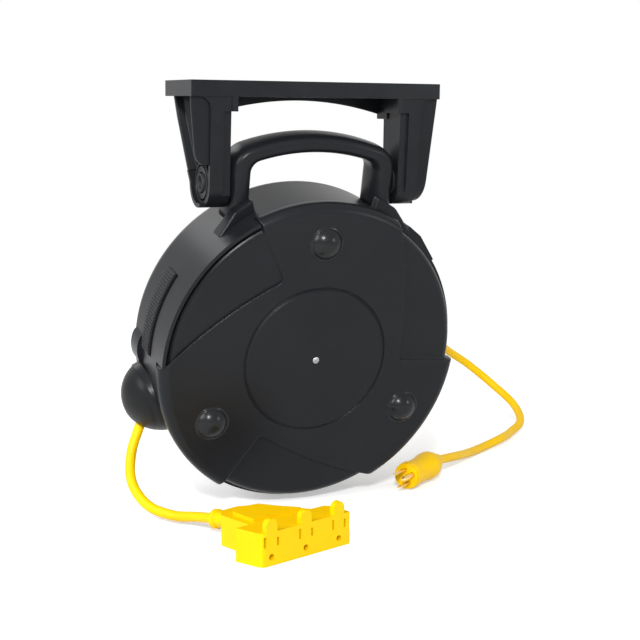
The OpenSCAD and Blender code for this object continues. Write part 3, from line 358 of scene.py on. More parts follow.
def smooth_route(points, steps):
    """A smooth curve through the points, the same as the CAD solids follow."""
    p = [np.array(q, float) for q in points]
    line = []
    for i in range(len(p) - 1):
        a, b, c, d = p[max(i - 1, 0)], p[i], p[i + 1], p[min(i + 2, len(p) - 1)]
        for t in (k / steps for k in range(steps)):
            square = (2 * a - 5 * b + 4 * c - d) * t * t
            line.append(0.5 * (2 * b + (c - a) * t + square + (3 * b - a - 3 * c + d) * t**3))
    return [*line, p[-1]]


def lying(route):
    return [in_row(x, y, z + FLOOR) for x, y, z in route]


def cord_curve(name, points, replaced=None, steps=8):
    """A round cord through the points, and its centre line."""
    line = smooth_route(points, steps)
    data = bpy.data.curves.new(name, "CURVE")
    data.dimensions = "3D"
    spline = data.splines.new("POLY")
    spline.points.add(len(line) - 1)
    for point, place in zip(spline.points, line):
        point.co = (*place, 1)
    data.bevel_depth, data.bevel_resolution, data.use_fill_caps = CORD_R * MM, 5, True
    data.materials.append(JACKET)
    cord = placed(name, data)
    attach(cord, "housing")
    if replaced:
        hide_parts(replaced)
    return cord, line


output_cord, output_line = cord_curve(
    "output_cord_run", [run_at(0), run_at(BEND_FROM), *lying(OUTPUT_ROUTE)], "output_cord"
)
cord_curve(
    "output_cord_feed", [run_at(FEED_FROM), run_at(FEED_FROM / 2), run_at(-0.5)], steps=2
)
supply_cord, supply_line = cord_curve(
    "supply_cord_run",
    [hung(TERMINAL_R - 5, GLAND_Y, 0), hung(GLAND_END, GLAND_Y, 0), *lying(SUPPLY_ROUTE)],
    "supply_cord",
)

# ------------------------------------------------------------------ mesh helpers

# Faces that meet at less than this are one flat
FLAT_WITHIN = math.radians(1.2)


def piece_of(name, mesh, body, slot, finish=None, replaces=()):
    """Shows a mesh as a piece on a CAD body, finished from a record slot."""
    made = placed(name, mesh)
    mesh.materials.clear()
    mesh.materials.append(finish or BY_SLOT[slot])
    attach(made, body)
    if replaces:
        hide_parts(*replaces)
    return made


def mesh_of(name, points, faces):
    """A smooth mesh from points in metres, its doubles merged and its faces outward."""
    mesh = bpy.data.meshes.new(name)
    mesh.from_pydata([tuple(p) for p in points], [], faces)
    b = bmesh.new()
    b.from_mesh(mesh)
    bmesh.ops.remove_doubles(b, verts=b.verts, dist=1e-6)
    bmesh.ops.recalc_face_normals(b, faces=b.faces)
    b.to_mesh(mesh)
    b.free()
    mesh.polygons.foreach_set("use_smooth", [True] * len(mesh.polygons))
    mesh.update()
    return mesh


def softened(node, width, segments=2):
    """A copy of a CAD solid with its sharp edges rounded, shown in the solid's place."""
    b = bmesh.new()
    b.from_mesh(frame["nodes"][node].data)
    bmesh.ops.remove_doubles(b, verts=b.verts, dist=2e-6)
    bmesh.ops.dissolve_limit(
        b, angle_limit=FLAT_WITHIN, verts=b.verts, edges=b.edges, delimit=set()
    )
    mesh = bpy.data.meshes.new(node + "_form")
    b.to_mesh(mesh)
    b.free()
    mesh.polygons.foreach_set("use_smooth", [True] * len(mesh.polygons))
    made = piece_of(node + "_form", mesh, BODY_OF[node], SLOT_OF[node], replaces=(node,))
    rounding(made, width, segments=segments)
    return made


def rounding(piece, width, angle=28, segments=2):
    """Rounds a piece's sharp edges and keeps its flats shaded flat."""
    bevel = piece.modifiers.new("edges", "BEVEL")
    bevel.width, bevel.segments = width * MM, segments
    bevel.limit_method, bevel.angle_limit = "ANGLE", math.radians(angle)
    bevel.miter_outer = "MITER_ARC"
    even = piece.modifiers.new("normals", "WEIGHTED_NORMAL")
    even.mode, even.weight, even.keep_sharp = "FACE_AREA", 100, True


def through(sections):
    """Points and faces of a solid that runs through closed sections of equal count."""
    n, last = len(sections[0]), len(sections) - 1
    faces = [
        (i * n + k, i * n + (k + 1) % n, (i + 1) * n + (k + 1) % n, (i + 1) * n + k)
        for i in range(last)
        for k in range(n)
    ]
    faces += [tuple(range(n))[::-1], tuple(range(last * n, (last + 1) * n))]
    return [point for section in sections for point in section], faces


def turned_faces(turns, n, capped=True):
    """Faces between profiles of n points that stand all round an axis."""
    faces = []
    for i in range(turns):
        p, q = i * n, (i + 1) % turns * n
        faces += [(p + k, p + k + 1, q + k + 1, q + k) for k in range(n - 1)]
    if capped:
        faces += [[i * n for i in range(turns)], [i * n + n - 1 for i in range(turns)][::-1]]
    return faces


def turned_points(profile, turns, place):
    """A profile of (radius, along) turned about an axis; place maps (across, up, along)."""
    points = []
    for a in (math.tau * i / turns for i in range(turns)):
        points += [place(r * math.cos(a), r * math.sin(a), y) for r, y in profile]
    return points


# ------------------------------------------------------------------ front cover

COVER_R, COVER_RIM, EDGE_ROUND = 138.5, 14.0, 9.0
# The sunk panels: their rim, how deep they lie, and their two edges
PANEL_RIM_R, LOBE_STEP, PANEL_ROUND = 132.5, 2.5, 8.0
PANEL_EDGE_AT, PANEL_FILLET, PANEL_BLEND = 116, 5.0, 2.0
PANEL_CORNER, PANEL_TIP, BOW_R = polar(80, PANEL_EDGE_AT), polar(COVER_R, 181.5), 376.0
GROOVE_R, GROOVE_DEPTH, GROOVE_HALF = 64.6, 1.3, 0.9
# The cover's back: its lip inside the drum wall, and the corner behind its face
LIP_R, LIP_INNER_R, LIP_END = INNER_R - 0.4, 131.4, 22.6
BACK_R, BACK_CORNER, FACE_BACK = 124, 13, 5.6
DOME_RING_R, DOME_R, DOME_H, DOME_FILLET = 104, 14.0, 8.5, 1.2
DISC_H = 0.8


def bow_centre():
    """The centre of the bowed edge, which runs from a panel's corner to its tip."""
    chord = PANEL_TIP - PANEL_CORNER
    span = np.linalg.norm(chord)
    away = math.sqrt(BOW_R**2 - (span / 2) ** 2) * np.array([chord[1], -chord[0]]) / span
    return (PANEL_CORNER + PANEL_TIP) / 2 - away


def in_panel(x, z):
    """Signed distance into the nearest sunk panel, in millimetres: above 0 inside one."""
    best = np.full(np.shape(x), -1e9)
    bow_x, bow_z = bow_centre()
    edge_x, edge_z = polar(1, PANEL_EDGE_AT)
    for a in (math.radians(120 * i) for i in range(3)):
        u, v = x * math.cos(a) + z * math.sin(a), -x * math.sin(a) + z * math.cos(a)
        from_bow = np.hypot(u - bow_x, v - bow_z) - BOW_R
        from_edge = u * -edge_z + v * edge_x
        # A rounded inner corner between the two edges
        p, q = np.maximum(PANEL_FILLET - from_bow, 0), np.maximum(PANEL_FILLET - from_edge, 0)
        rounded = PANEL_FILLET - np.hypot(p, q)
        inside = np.where((p > 0) & (q > 0), rounded, np.minimum(from_bow, from_edge))
        best = np.maximum(best, inside)
    return best


def soft_step(t):
    t = np.clip(t, 0, 1)
    return t * t * (3 - 2 * t)


def cover_profile(r_out, y_face, edge, radii):
    """The cover from its centre over its rim to the middle of its back, as (radius, depth)."""
    flat = []
    for r in radii * (r_out - edge):
        groove = math.exp(-(((r - GROOVE_R) / GROOVE_HALF) ** 4))
        flat.append((r, y_face + GROOVE_DEPTH * groove))
    arc = [
        (r_out - edge + edge * math.sin(a), y_face + edge - edge * math.cos(a))
        for a in np.linspace(0, math.pi / 2, 13)[1:]
    ]
    rim = [(r_out, COVER_RIM - 0.9), (r_out - 0.25, COVER_RIM - 0.25), (r_out - 0.9, COVER_RIM)]
    hidden = [
        (LIP_R, COVER_RIM), (LIP_R, LIP_END), (LIP_INNER_R, LIP_END), (LIP_INNER_R, BACK_CORNER),
        (BACK_R, FACE_BACK), (0.5, FACE_BACK),
    ]
    return np.array(flat + arc + rim + hidden)


def make_cover():
    """One turned shell whose profile passes between the face and a sunk panel along its edge."""
    turns = 900
    near_groove = (GROOVE_R + np.linspace(-1.6, 1.6, 13)) / (COVER_R - EDGE_ROUND)
    radii = np.concatenate(
        [[0.004], np.linspace(0.03, 0.46, 10), near_groove, np.linspace(0.52, 1, 62)]
    )
    lobe = cover_profile(COVER_R, 0, EDGE_ROUND, radii)
    panel = cover_profile(PANEL_RIM_R, LOBE_STEP, PANEL_ROUND, radii)
    a = np.radians(np.arange(turns) * 360 / turns)[:, None]
    middle = (lobe[:, 0] + panel[:, 0])[None, :] / 2
    depth_in = in_panel(middle * np.cos(a), middle * np.sin(a))
    share = soft_step(depth_in / PANEL_BLEND + 0.5)
    r, y = (lobe[None, :, i] * (1 - share) + panel[None, :, i] * share for i in (0, 1))
    places = np.stack([(r * np.cos(a)).ravel(), y.ravel(), (r * np.sin(a)).ravel()], 1)
    matrix = np.array(REEL)
    points = places * MM @ matrix[:3, :3].T + matrix[:3, 3]
    mesh = mesh_of("cover_shell", points, turned_faces(turns, len(lobe)))
    piece_of("cover_shell", mesh, "housing", "black_plastic", replaces=("front_cover",))


def turned_piece(name, profile, centre, turns, finish=BLACK):
    """A piece of the cover turned about an axis that stands on the face."""
    points = turned_points(
        profile, turns, lambda x, z, y: hung(centre[0] + x, y, centre[1] + z)
    )
    mesh = mesh_of(name, points, turned_faces(turns, len(profile)))
    piece_of(name, mesh, "housing", "black_plastic", finish)


def make_domes():
    ball = (DOME_R**2 + DOME_H**2) / (2 * DOME_H)
    lean = math.asin(DOME_R / ball)
    cap = [
        (max(ball * math.sin(t), 0.05), -(ball * math.cos(t) - ball + DOME_H))
        for t in np.linspace(0.0, lean * 0.97, 22)
    ]
    foot = DOME_R + DOME_FILLET
    skirt = [(DOME_R + 0.15, -0.45), (DOME_R + DOME_FILLET / 2, -0.12), (foot, 0.0), (foot, 1.5)]
    for i, at in enumerate((90, 210, 330)):
        turned_piece(f"cover_dome_{i + 1}", cap + skirt, polar(DOME_RING_R, at), 64, POLISHED)


def make_centre_disc():
    flat = [(r, -DISC_H) for r in (0.5, 20, 40, 61.6)]
    edge = [(62.3, -0.72), (62.8, -0.45), (63.1, 0.0), (63.2, 1.0)]
    turned_piece("cover_centre_disc", flat + edge, (0, 0), 240)


make_cover()
make_domes()
make_centre_disc()

# ------------------------------------------------------------------ carry handle

HANDLE_HALF, HANDLE_TOP, HANDLE_BOW, HANDLE_LEG = 75.5, 186.8, 190.0, 19.5
GRIP_T, OUTER_CORNER, INNER_CORNER = 15.5, 22, 10
HANDLE_DEPTH, HANDLE_FRONT, FOOT_R = 34.0, PIVOT_BACK - 17.0, WALL_R + 0.05
HANDLE_SQUARENESS = 3.0


def arch_line(w, h, bow, c):
    """The handle's arch as points (x, z): up a leg, round the corner, along the bow and down."""
    foot = math.sqrt(FOOT_R**2 - w * w)
    up = h - bow + math.sqrt((bow - c) ** 2 - (w - c) ** 2)
    lean = math.acos((w - c) / (bow - c))
    leg = [(w, z) for z in np.linspace(foot, up, 9)[:-1]]
    corner = [(w - c + c * math.cos(a), up + c * math.sin(a)) for a in np.linspace(0, lean, 13)]
    top = [
        (bow * math.cos(a), h - bow + bow * math.sin(a))
        for a in np.linspace(lean, math.pi / 2, 19)[1:]
    ]
    half = leg + corner + top
    return np.array(half + [(-x, z) for x, z in half[-2::-1]])


def rounded_square(a):
    """A point of a rounded square with sides of 2, from its direction."""
    power = 2 / HANDLE_SQUARENESS
    return [math.copysign(abs(way) ** power, way) for way in (math.cos(a), math.sin(a))]


def make_handle():
    outer = arch_line(HANDLE_HALF, HANDLE_TOP, HANDLE_BOW, OUTER_CORNER)
    inner = arch_line(
        HANDLE_HALF - HANDLE_LEG, HANDLE_TOP - GRIP_T, HANDLE_BOW - GRIP_T, INNER_CORNER
    )
    sections = []
    for far, near in zip(outer, inner):
        section = []
        for u, v in (rounded_square(math.tau * k / 36) for k in range(36)):
            x, z = (far + near) / 2 + u * ((far - near) / 2)
            section.append([x, PIVOT_BACK + v * HANDLE_DEPTH / 2, z])
        sections.append(section)
    # Both feet follow the drum wall
    for place in sections[0] + sections[-1]:
        place[2] = math.sqrt(FOOT_R**2 - place[0] * place[0])
    points, faces = through(sections)
    mesh = mesh_of("handle_arch", [hung(*p) for p in points], faces)
    piece_of("handle_arch", mesh, "housing", "black_plastic", replaces=("carry_handle",))


def make_foot_blades():
    """Blades that run from the handle's legs down onto the drum wall."""
    tip, heel, inner = polar(WALL_R + 0.6, 50), polar(WALL_R - 4, 50.5), polar(WALL_R - 4, 66)
    # Each corner across, up, and the depth of the blade's front there
    outline = [(57.5, 135, 30), (74, 126, 25), (*tip, 21.2), (*heel, 21.2), (*inner, 28)]
    for name, side in (("handle_blade_right", 1), ("handle_blade_left", -1)):
        front = [hung(side * x, y, z) for x, z, y in outline]
        rear = [hung(side * x, HANDLE_FRONT + 3, z) for x, z, _ in outline]
        mesh = mesh_of(name, *through([front, rear]))
        rounding(piece_of(name, mesh, "housing", "black_plastic"), 2.2, 20, 4)


make_handle()
make_foot_blades()

# ------------------------------------------------------------------ what repeats


class Grower(Recipe):
    """A tree of Geometry Nodes with named inputs for its sizes."""

    family = "GeometryNode"

    def __init__(self, name, **sizes):
        super().__init__(bpy.data.node_groups.new(name, "GeometryNodeTree"))
        self.keys, self.values = {}, dict(sizes)
        face = self.tree.interface
        face.new_socket("Geometry", in_out="INPUT", socket_type="NodeSocketGeometry")
        kinds = {int: "NodeSocketInt", float: "NodeSocketFloat", tuple: "NodeSocketVector"}
        for key, value in sizes.items():
            label = key.replace("_", " ").title()
            made = face.new_socket(label, in_out="INPUT", socket_type=kinds[type(value)])
            self.keys[key] = made.identifier
        made = face.new_socket("Finish", in_out="INPUT", socket_type="NodeSocketMaterial")
        self.keys["finish"] = made.identifier
        face.new_socket("Geometry", in_out="OUTPUT", socket_type="NodeSocketGeometry")
        self.start = self.node("NodeGroupInput", {})
        self.source = self.start.outputs[0]

    def size(self, key):
        return Value(self, self.start.outputs[key.replace("_", " ").title()])

    def put(self, kind, settings, *values, out=0, **named):
        """Adds a node and gives one of its outputs."""
        return self.node(kind, settings, *values, **named).outputs[out]

    def vector(self, x, y, z):
        return self.put("ShaderNodeCombineXYZ", {}, x, y, z)

    def moved(self, shape, place=(0, 0, 0), turn=(0, 0, 0)):
        return self.put("Transform", {}, shape, Translation=place, Rotation=turn)

    def grow(self, name, shape, slot, source=None, replaces=()):
        """Ends the tree, and turns what it makes into a plain mesh on the housing."""
        real = self.put("RealizeInstances", {}, shape)
        done = self.put("SetMaterial", {}, real, None, self.start.outputs["Finish"])
        self.node("NodeGroupOutput", {}, done)
        holder = placed(name + "_seed", source or bpy.data.meshes.new(name + "_seed"))
        growth = holder.modifiers.new("growth", "NODES")
        growth.node_group = self.tree
        for key, value in self.values.items():
            growth[self.keys[key]] = value
        growth[self.keys["finish"]] = BY_SLOT[slot]
        holder.update_tag()
        seen = holder.evaluated_get(bpy.context.evaluated_depsgraph_get())
        mesh = bpy.data.meshes.new_from_object(seen)
        mesh.name = name
        holder.modifiers.clear()
        bpy.data.objects.remove(holder)
        assert len(mesh.vertices), name
        return piece_of(name, mesh, "housing", slot, replaces=replaces)


def grow_screw_heads(name, places, turn, radius, height, shank, replaced):
    """Pan heads with a cross recess on short shanks, on the given places and turned one way."""
    g = Grower(
        name + "_tree", head_radius=radius * MM, head_height=height * MM, shank_length=shank * MM,
        shank_radius=radius * 0.47 * MM, recess_width=radius * 0.26 * MM,
        recess_length=radius * 1.25 * MM, recess_depth=height * 0.6 * MM, fullness=3.2,
        sharp_from=0.6, facing=tuple(turn), most_turn=math.tau, seed=3,
    )
    r, h, length = g.size("head_radius"), g.size("head_height"), g.size("shank_length")
    # The head's top falls off toward its edge
    disc = g.put("MeshCylinder", {"fill_type": "TRIANGLE_FAN"}, 40, 2, 6, r, h)
    apart = g.put("ShaderNodeSeparateXYZ", {}, g.put("InputPosition", {})).node
    x, y, z = (Value(g, apart.outputs[i]) for i in range(3))
    out = ((x * x + y * y) ** 0.5) / r
    sunk = g.vector(0.0, 0.0, out ** g.size("fullness") * (h * -0.5) * (z / h + 0.5))
    dome = g.put("SetPosition", {}, disc, Offset=sunk)
    long, wide, deep = g.size("recess_length"), g.size("recess_width"), g.size("recess_depth")
    bars = [
        g.moved(g.put("MeshCube", {}, g.vector(a, b, deep * 2)), g.vector(0.0, 0.0, h * 0.5))
        for a, b in ((long, wide), (wide, long))
    ]
    cut = g.put("MeshBoolean", {"operation": "DIFFERENCE"}, dome, bars)
    steep = g.put(
        "FunctionNodeCompare", {"data_type": "FLOAT", "operation": "GREATER_THAN"},
        g.put("InputMeshEdgeAngle", {}), g.size("sharp_from"),
    )
    smooth = g.put("SetShadeSmooth", {"domain": "FACE"}, cut, None, True)
    edged = g.put("SetShadeSmooth", {"domain": "EDGE"}, smooth, steep, False)
    head = g.moved(edged, g.vector(0.0, 0.0, h * 0.5))
    bar = g.put(
        "MeshCylinder", {"fill_type": "TRIANGLE_FAN"}, 20, 1, 1, g.size("shank_radius"), length
    )
    under = g.moved(bar, g.vector(0.0, 0.0, length * -0.5 + h * 0.2))
    screw = g.put("JoinGeometry", {}, [head, under])
    many = g.put("InstanceOnPoints", {}, g.source, Instance=screw, Rotation=g.size("facing"))
    roll = g.put(
        "FunctionNodeRandomValue", {"data_type": "FLOAT"}, None, None, 0.0, g.size("most_turn"),
        out=1, Seed=g.size("seed"),
    )
    turned = g.put(
        "RotateInstances", {}, many, Rotation=g.vector(0.0, 0.0, roll), Local_Space=True
    )
    source = bpy.data.meshes.new(name + "_places")
    source.from_pydata([tuple(p) for p in places], [], [])
    g.grow(name, turned, "zinc_steel", source, (replaced,))


def grow_strip_ribs():
    """Round ribs side by side along the strip, each one along the drum axis."""
    g = Grower(
        "strip_ribs_tree", ring_radius=RIB_RING_R * MM, start_angle=math.radians(STRIP_FROM + 1),
        sweep=math.radians(STRIP_TO - STRIP_FROM - 2), count=RIB_COUNT, rib_radius=RIB_R * MM,
        rib_length=RIB_LENGTH * MM, depth_place=(STRIP_Y + STRIP_W / 2) * MM,
        hang_place=tuple(REEL.translation), hang_turn=tuple(REEL.to_euler()),
    )
    arc = g.put(
        "CurveArc", {"mode": "RADIUS"}, Resolution=g.size("count"), Radius=g.size("ring_radius"),
        Start_Angle=g.size("start_angle"), Sweep_Angle=g.size("sweep"),
    )
    ring = g.moved(arc, g.vector(0.0, g.size("depth_place"), 0.0), (math.pi / 2, 0, 0))
    bar = g.put("MeshCylinder", {}, 12, 1, 1, g.size("rib_radius"), g.size("rib_length"))
    lying_bar = g.moved(bar, turn=(math.pi / 2, 0, 0))
    many = g.put("InstanceOnPoints", {}, ring, Instance=lying_bar)
    real = g.put("RealizeInstances", {}, many)
    ribs = g.moved(real, g.size("hang_place"), g.size("hang_turn"))
    g.grow("strip_ribs", ribs, "dark_plastic")


# ------------------------------------------------------------------ ribbed strip and ball stop

STRIP_FROM, STRIP_TO, STRIP_Y, STRIP_W, STRIP_H = 149.0, 180.5, 35.8, 20.0, 2.2
RIB_COUNT, RIB_R, RIB_RING_R, RIB_LENGTH = 28, 1.0, WALL_R + STRIP_H - 1.2, STRIP_W - 1.2
BALL_FLAT_R, BALL_H = 32.0, 24.5
# How far the front is drawn to its tip, and the soft crease across it
TIP_SHARE, CREASE_DEPTH, CREASE_AT, CREASE_SWAY, CREASE_HALF = 0.75, 0.9, 5.5, 4, 1.5


def make_strip():
    """The strip's bed, a curved bar with rounded edges, and the ribs on it."""
    low, top = WALL_R - 1.4, WALL_R + STRIP_H - 1.0
    front, back, edge, corner = STRIP_Y + 0.1, STRIP_Y + STRIP_W - 0.1, 0.5, 0.15
    outline = [
        (low, front), (top - edge, front), (top - corner, front + corner), (top, front + edge),
        (top, back - edge), (top - corner, back - corner), (top - edge, back), (low, back),
    ]
    sections = []
    for at in np.linspace(STRIP_FROM + 0.12, STRIP_TO - 0.12, 91):
        across, up = polar(1, at)
        sections.append([hung(r * across, y, r * up) for r, y in outline])
    mesh = mesh_of("strip_bed", *through(sections))
    bed = piece_of("strip_bed", mesh, "housing", "dark_plastic", replaces=("ribbed_strip",))
    rounding(bed, 0.25, 40)
    grow_strip_ribs()


def ball_reach(h, a):
    """The reach of the ball's front from its axis, at a height and a direction round it."""
    ball = (BALL_FLAT_R**2 + BALL_H**2) / (2 * BALL_H)
    crowned = math.sqrt(max(ball**2 - (h + ball - BALL_H) ** 2, 0.0))
    drawn = min(BALL_FLAT_R * (1 - (h / BALL_H) ** 1.35) ** 0.72, crowned)
    lean = math.sin(a) ** 1.5
    blend = crowned * (1 - TIP_SHARE * lean) + drawn * TIP_SHARE * lean
    from_crease = (h - CREASE_AT - CREASE_SWAY * math.cos(a)) / CREASE_HALF
    crease = CREASE_DEPTH * math.exp(-(from_crease**2)) * lean
    return max(blend - crease * min(1, crowned / 9), 0.02)


def make_ball_front():
    """The ball stop's front half: a crowned cap with a blunt tip, closed on the parting plane."""
    outward, along = polar(1, MOUTH_ANGLE), polar(1, MOUTH_ANGLE + 90)
    rings, turns = 26, 48
    points = []
    for h in (BALL_H * math.sin(math.pi / 2 * i / rings) for i in range(rings + 1)):
        for a in (math.pi * k / turns for k in range(turns + 1)):
            r = ball_reach(h, a)
            x, z = MOUTH + (h + 0.1) * outward + r * math.cos(a) * along
            points.append(hung(x, OUTLET_Y - 0.05 - r * math.sin(a), z))
    n = turns + 1
    faces = [
        (i * n + k, i * n + k + 1, (i + 1) * n + k + 1, (i + 1) * n + k)
        for i in range(rings)
        for k in range(turns)
    ]
    one_side = tuple(i * n for i in range(rings + 1))
    other_side = tuple(i * n + turns for i in range(rings, -1, -1))
    faces += [tuple(range(n)), one_side + other_side]
    mesh = mesh_of("ball_front_form", points, faces)
    node = "ball_stop_front"
    front = piece_of("ball_front_form", mesh, "housing", SLOT_OF[node], replaces=(node,))
    rounding(front, 0.5, 50)


# ------------------------------------------------------------------ bracket

LEG_IN, LEG_OUT, LEG_FRONT_OUT, LEG_FOOT_R = 77.0, 99.0, 95.5, 20.7
PLATE_HALF, LEG_WALL, SKIRT_H = 112.5, 3.5, 13.0
# The legs' fine walls start inside the skirt
WALL_TOP = -6
# The outer wall's reach at the skirt and at the foot, and how its front leans
FLANGE_TOP_OUT, FLANGE_OUT, FLANGE_SET_BACK, FRONT_LEAN = PLATE_HALF - 0.3, 105.4, 2.4, 4.8
# The left one turns inward under a height, the more the lower it comes
LEFT_LEVELS, LEFT_TURN, LEFT_CURL = (WALL_TOP, -20, -34, -48, -60, -64, -67, -69), -60, 0.075
REAR_TOP_OUT, REAR_TOP, REAR_SLOPE, REAR_START = PLATE_HALF - 4, 39.0, 0.2141, 8
CORNER_LOW, CORNER_FRONT, CORNER_BACK = -30.5, 2, 22
ARCH_Y, ARCH_END, ARCH_RISE = 20.0, 26.5, 11.0
# The solid's rear skirt and rear leg walls give way to finer ones
REAR_FREE = [((-76, 39, -40), (76, 60, -SKIRT_H))]
REAR_FREE += [((x - 19, 9, -74), (x + 19, 60, -SKIRT_H)) for x in (-94, 94)]
# Turned about the swing axis, as (radius, distance from the bracket's middle)
BOSS_RING = [(17.6, 80), (17.6, 95.0), (17.1, 95.7), (16.0, 95.7), (15.4, 95.0), (15.2, 80)]
COLLAR = [(8.0, 84), (8.0, 96.6), (7.5, 97.4), (6.2, 97.4), (5.4, 96.2), (5.2, 84)]


def box_mesh(low, high, place):
    (x0, y0, z0), (x1, y1, z1) = low, high
    corners = ((x0, y0), (x1, y0), (x1, y1), (x0, y1))
    ends = [[place(x, y, z) for x, y in corners] for z in (z0, z1)]
    return mesh_of("carving_box", *through(ends))


def carve(piece, boxes, place=in_row):
    """Cuts boxes, given by their lowest and highest corners in a frame, out of a piece."""
    finish, mesh = piece.data.materials[0], piece.data.copy()
    holder = placed("carving", mesh)
    tools = []
    for low, high in boxes:
        tool = placed("carving_box", box_mesh(low, high, place))
        cut = holder.modifiers.new("cut", "BOOLEAN")
        cut.operation, cut.solver, cut.object = "DIFFERENCE", "EXACT", tool
        tools.append(tool)
    seen = holder.evaluated_get(bpy.context.evaluated_depsgraph_get())
    done = bpy.data.meshes.new_from_object(seen)
    for each in (holder, *tools):
        bpy.data.objects.remove(each)
    done.polygons.foreach_set("use_smooth", [True] * len(done.polygons))
    done.materials.clear()
    done.materials.append(finish)
    piece.data = done


def bracket_wall(name, sections, width, side=1):
    """A wall of the bracket through closed sections, in millimetres, on one side of it."""
    places = [[in_row(side * x, y, z) for x, y, z in section] for section in sections]
    wall = piece_of(name, mesh_of(name, *through(places)), "bracket", "black_plastic")
    rounding(wall, width, segments=3)


def make_flange(name, side):
    """The set-back outer wall down a leg's front.

    The right one goes on round the foot, and the left one ends above the pivot boss.
    """
    # Depth, height, the way inward and the reach outward
    line = []
    levels = np.linspace(WALL_TOP, -PIVOT_DROP, 13)[:-1] if side > 0 else LEFT_LEVELS
    for z in levels:
        out = np.interp(-z, (SKIRT_H, PIVOT_DROP), (FLANGE_TOP_OUT, FLANGE_OUT))
        if side < 0 and z < LEFT_TURN:
            out = max(out - LEFT_CURL * (z - LEFT_TURN) ** 2, LEG_FRONT_OUT - 1)
        lean = FRONT_LEAN * (z + PIVOT_DROP) / PIVOT_DROP
        line.append((FLANGE_SET_BACK - LEG_FOOT_R - lean, z, (1.0, 0.0), out))
    for at in np.linspace(180, 345, 15) if side > 0 else ():
        across, up = polar(1, at)
        r = LEG_FOOT_R - FLANGE_SET_BACK
        out = np.interp(at, (180, 345), (FLANGE_OUT, LEG_OUT))
        line.append((r * across, r * up - PIVOT_DROP, (-across, -up), out))
    start = LEG_FRONT_OUT - 2
    sections = []
    for y, z, (inward_y, inward_z), out in line:
        y1, z1 = y + LEG_WALL * inward_y, z + LEG_WALL * inward_z
        sections.append([(start, y, z), (out, y, z), (out, y1, z1), (start, y1, z1)])
    bracket_wall(f"bracket_flange_{name}", sections, 1.2, side)


def make_leg_back(name, side):
    """The wall that slants back to a leg's outer rear edge, and the block in the plate's corner."""
    sections = []
    for z in (WALL_TOP, -30, -54, -74):
        back = REAR_TOP + REAR_SLOPE * z
        out = np.interp(-z, (SKIRT_H, PIVOT_DROP), (REAR_TOP_OUT, LEG_OUT))
        corners = [
            (LEG_IN, REAR_START), (LEG_IN, REAR_START + LEG_WALL), (out - 5, back), (out, back),
            (out, back - 4), (out - 7, back - 5), (LEG_IN + 4, REAR_START),
        ]
        sections.append([(x, y, z) for x, y in corners])
    bracket_wall(f"bracket_rear_wall_{name}", sections, 0.8, side)
    inner, outer = LEG_IN - 1.5, LEG_IN + 3
    corners = [
        (inner, CORNER_FRONT), (outer, CORNER_FRONT), (outer, CORNER_BACK), (inner, CORNER_BACK)
    ]
    block = [[(x, y, z) for x, y in corners] for z in (WALL_TOP, CORNER_LOW)]
    bracket_wall(f"bracket_corner_{name}", block, 0.6, side)


def make_pivot_ring(name, side, profile, finish):
    """A ring round the swing axis, from a profile that closes on itself."""
    turns, profile = 64, [*profile, profile[0]]
    points = turned_points(profile, turns, lambda y, z, x: in_row(side * x, y, z - PIVOT_DROP))
    mesh = mesh_of(name, points, turned_faces(turns, len(profile), capped=False))
    piece_of(name, mesh, "bracket", "black_plastic", finish)


def make_arch():
    """The arched skirt between the legs."""
    back = ARCH_Y + LEG_WALL
    sections = []
    for x in np.linspace(-LEG_IN, LEG_IN, 41):
        low = -ARCH_END + ARCH_RISE * (1 - (x / LEG_IN) ** 2)
        sections.append([(x, ARCH_Y, -4), (x, ARCH_Y, low), (x, back, low), (x, back, -4)])
    bracket_wall("bracket_arch", sections, 0.8)


def make_bracket():
    carve(softened("mounting_bracket", 1.3, 3), REAR_FREE)
    for name, side in (("left", -1), ("right", 1)):
        make_flange(name, side)
        make_leg_back(name, side)
        make_pivot_ring(f"pivot_boss_ring_{name}", side, BOSS_RING, BLACK)
        make_pivot_ring(f"pivot_collar_{name}", side, COLLAR, FIBRE)
    make_arch()


# ------------------------------------------------------------------ solids with rounded edges

# The wall's raised rim runs only round the left panel
RIM_FREE = [
    ((-78, -4, -150), (73, WALL_FRONT - 0.01, -106)),
    ((64, -4, -10.2), (150, WALL_FRONT - 0.01, 121.5)),
]
# How far each fitting's edges are rounded
FITTINGS = {
    "tap_gland": 0.5, "plug_body": 0.6, "plug_face": 0.35, "plug_blades": 0.25,
    "terminal_cover": 0.5, "supply_gland": 0.35, "axle_nut": 0.5,
}

make_strip()
make_bracket()
carve(softened("rear_housing", 0.8), RIM_FREE, hung)
softened("outlet_guide", 0.7)
make_ball_front()
softened("ball_stop_back", 0.6)
softened("tap_body", 1.4, 3)
for fitting, edge_width in FITTINGS.items():
    softened(fitting, edge_width)

# ------------------------------------------------------------------ screws


FORWARD, BACKWARD = -1, 1
BALL_SCREW_UP, BALL_SCREW_OFF = 7, 17


def turned_to(y):
    """The turn that faces a screw's head forward or backward."""
    return (REEL.to_3x3() @ Vector((0, y, 0))).to_track_quat("Z", "Y").to_euler()


def ball_screw_places():
    outward, along = polar(1, MOUTH_ANGLE), polar(1, MOUTH_ANGLE + 90)
    sides = (-BALL_SCREW_OFF, BALL_SCREW_OFF)
    return [MOUTH + BALL_SCREW_UP * outward + off * along for off in sides]


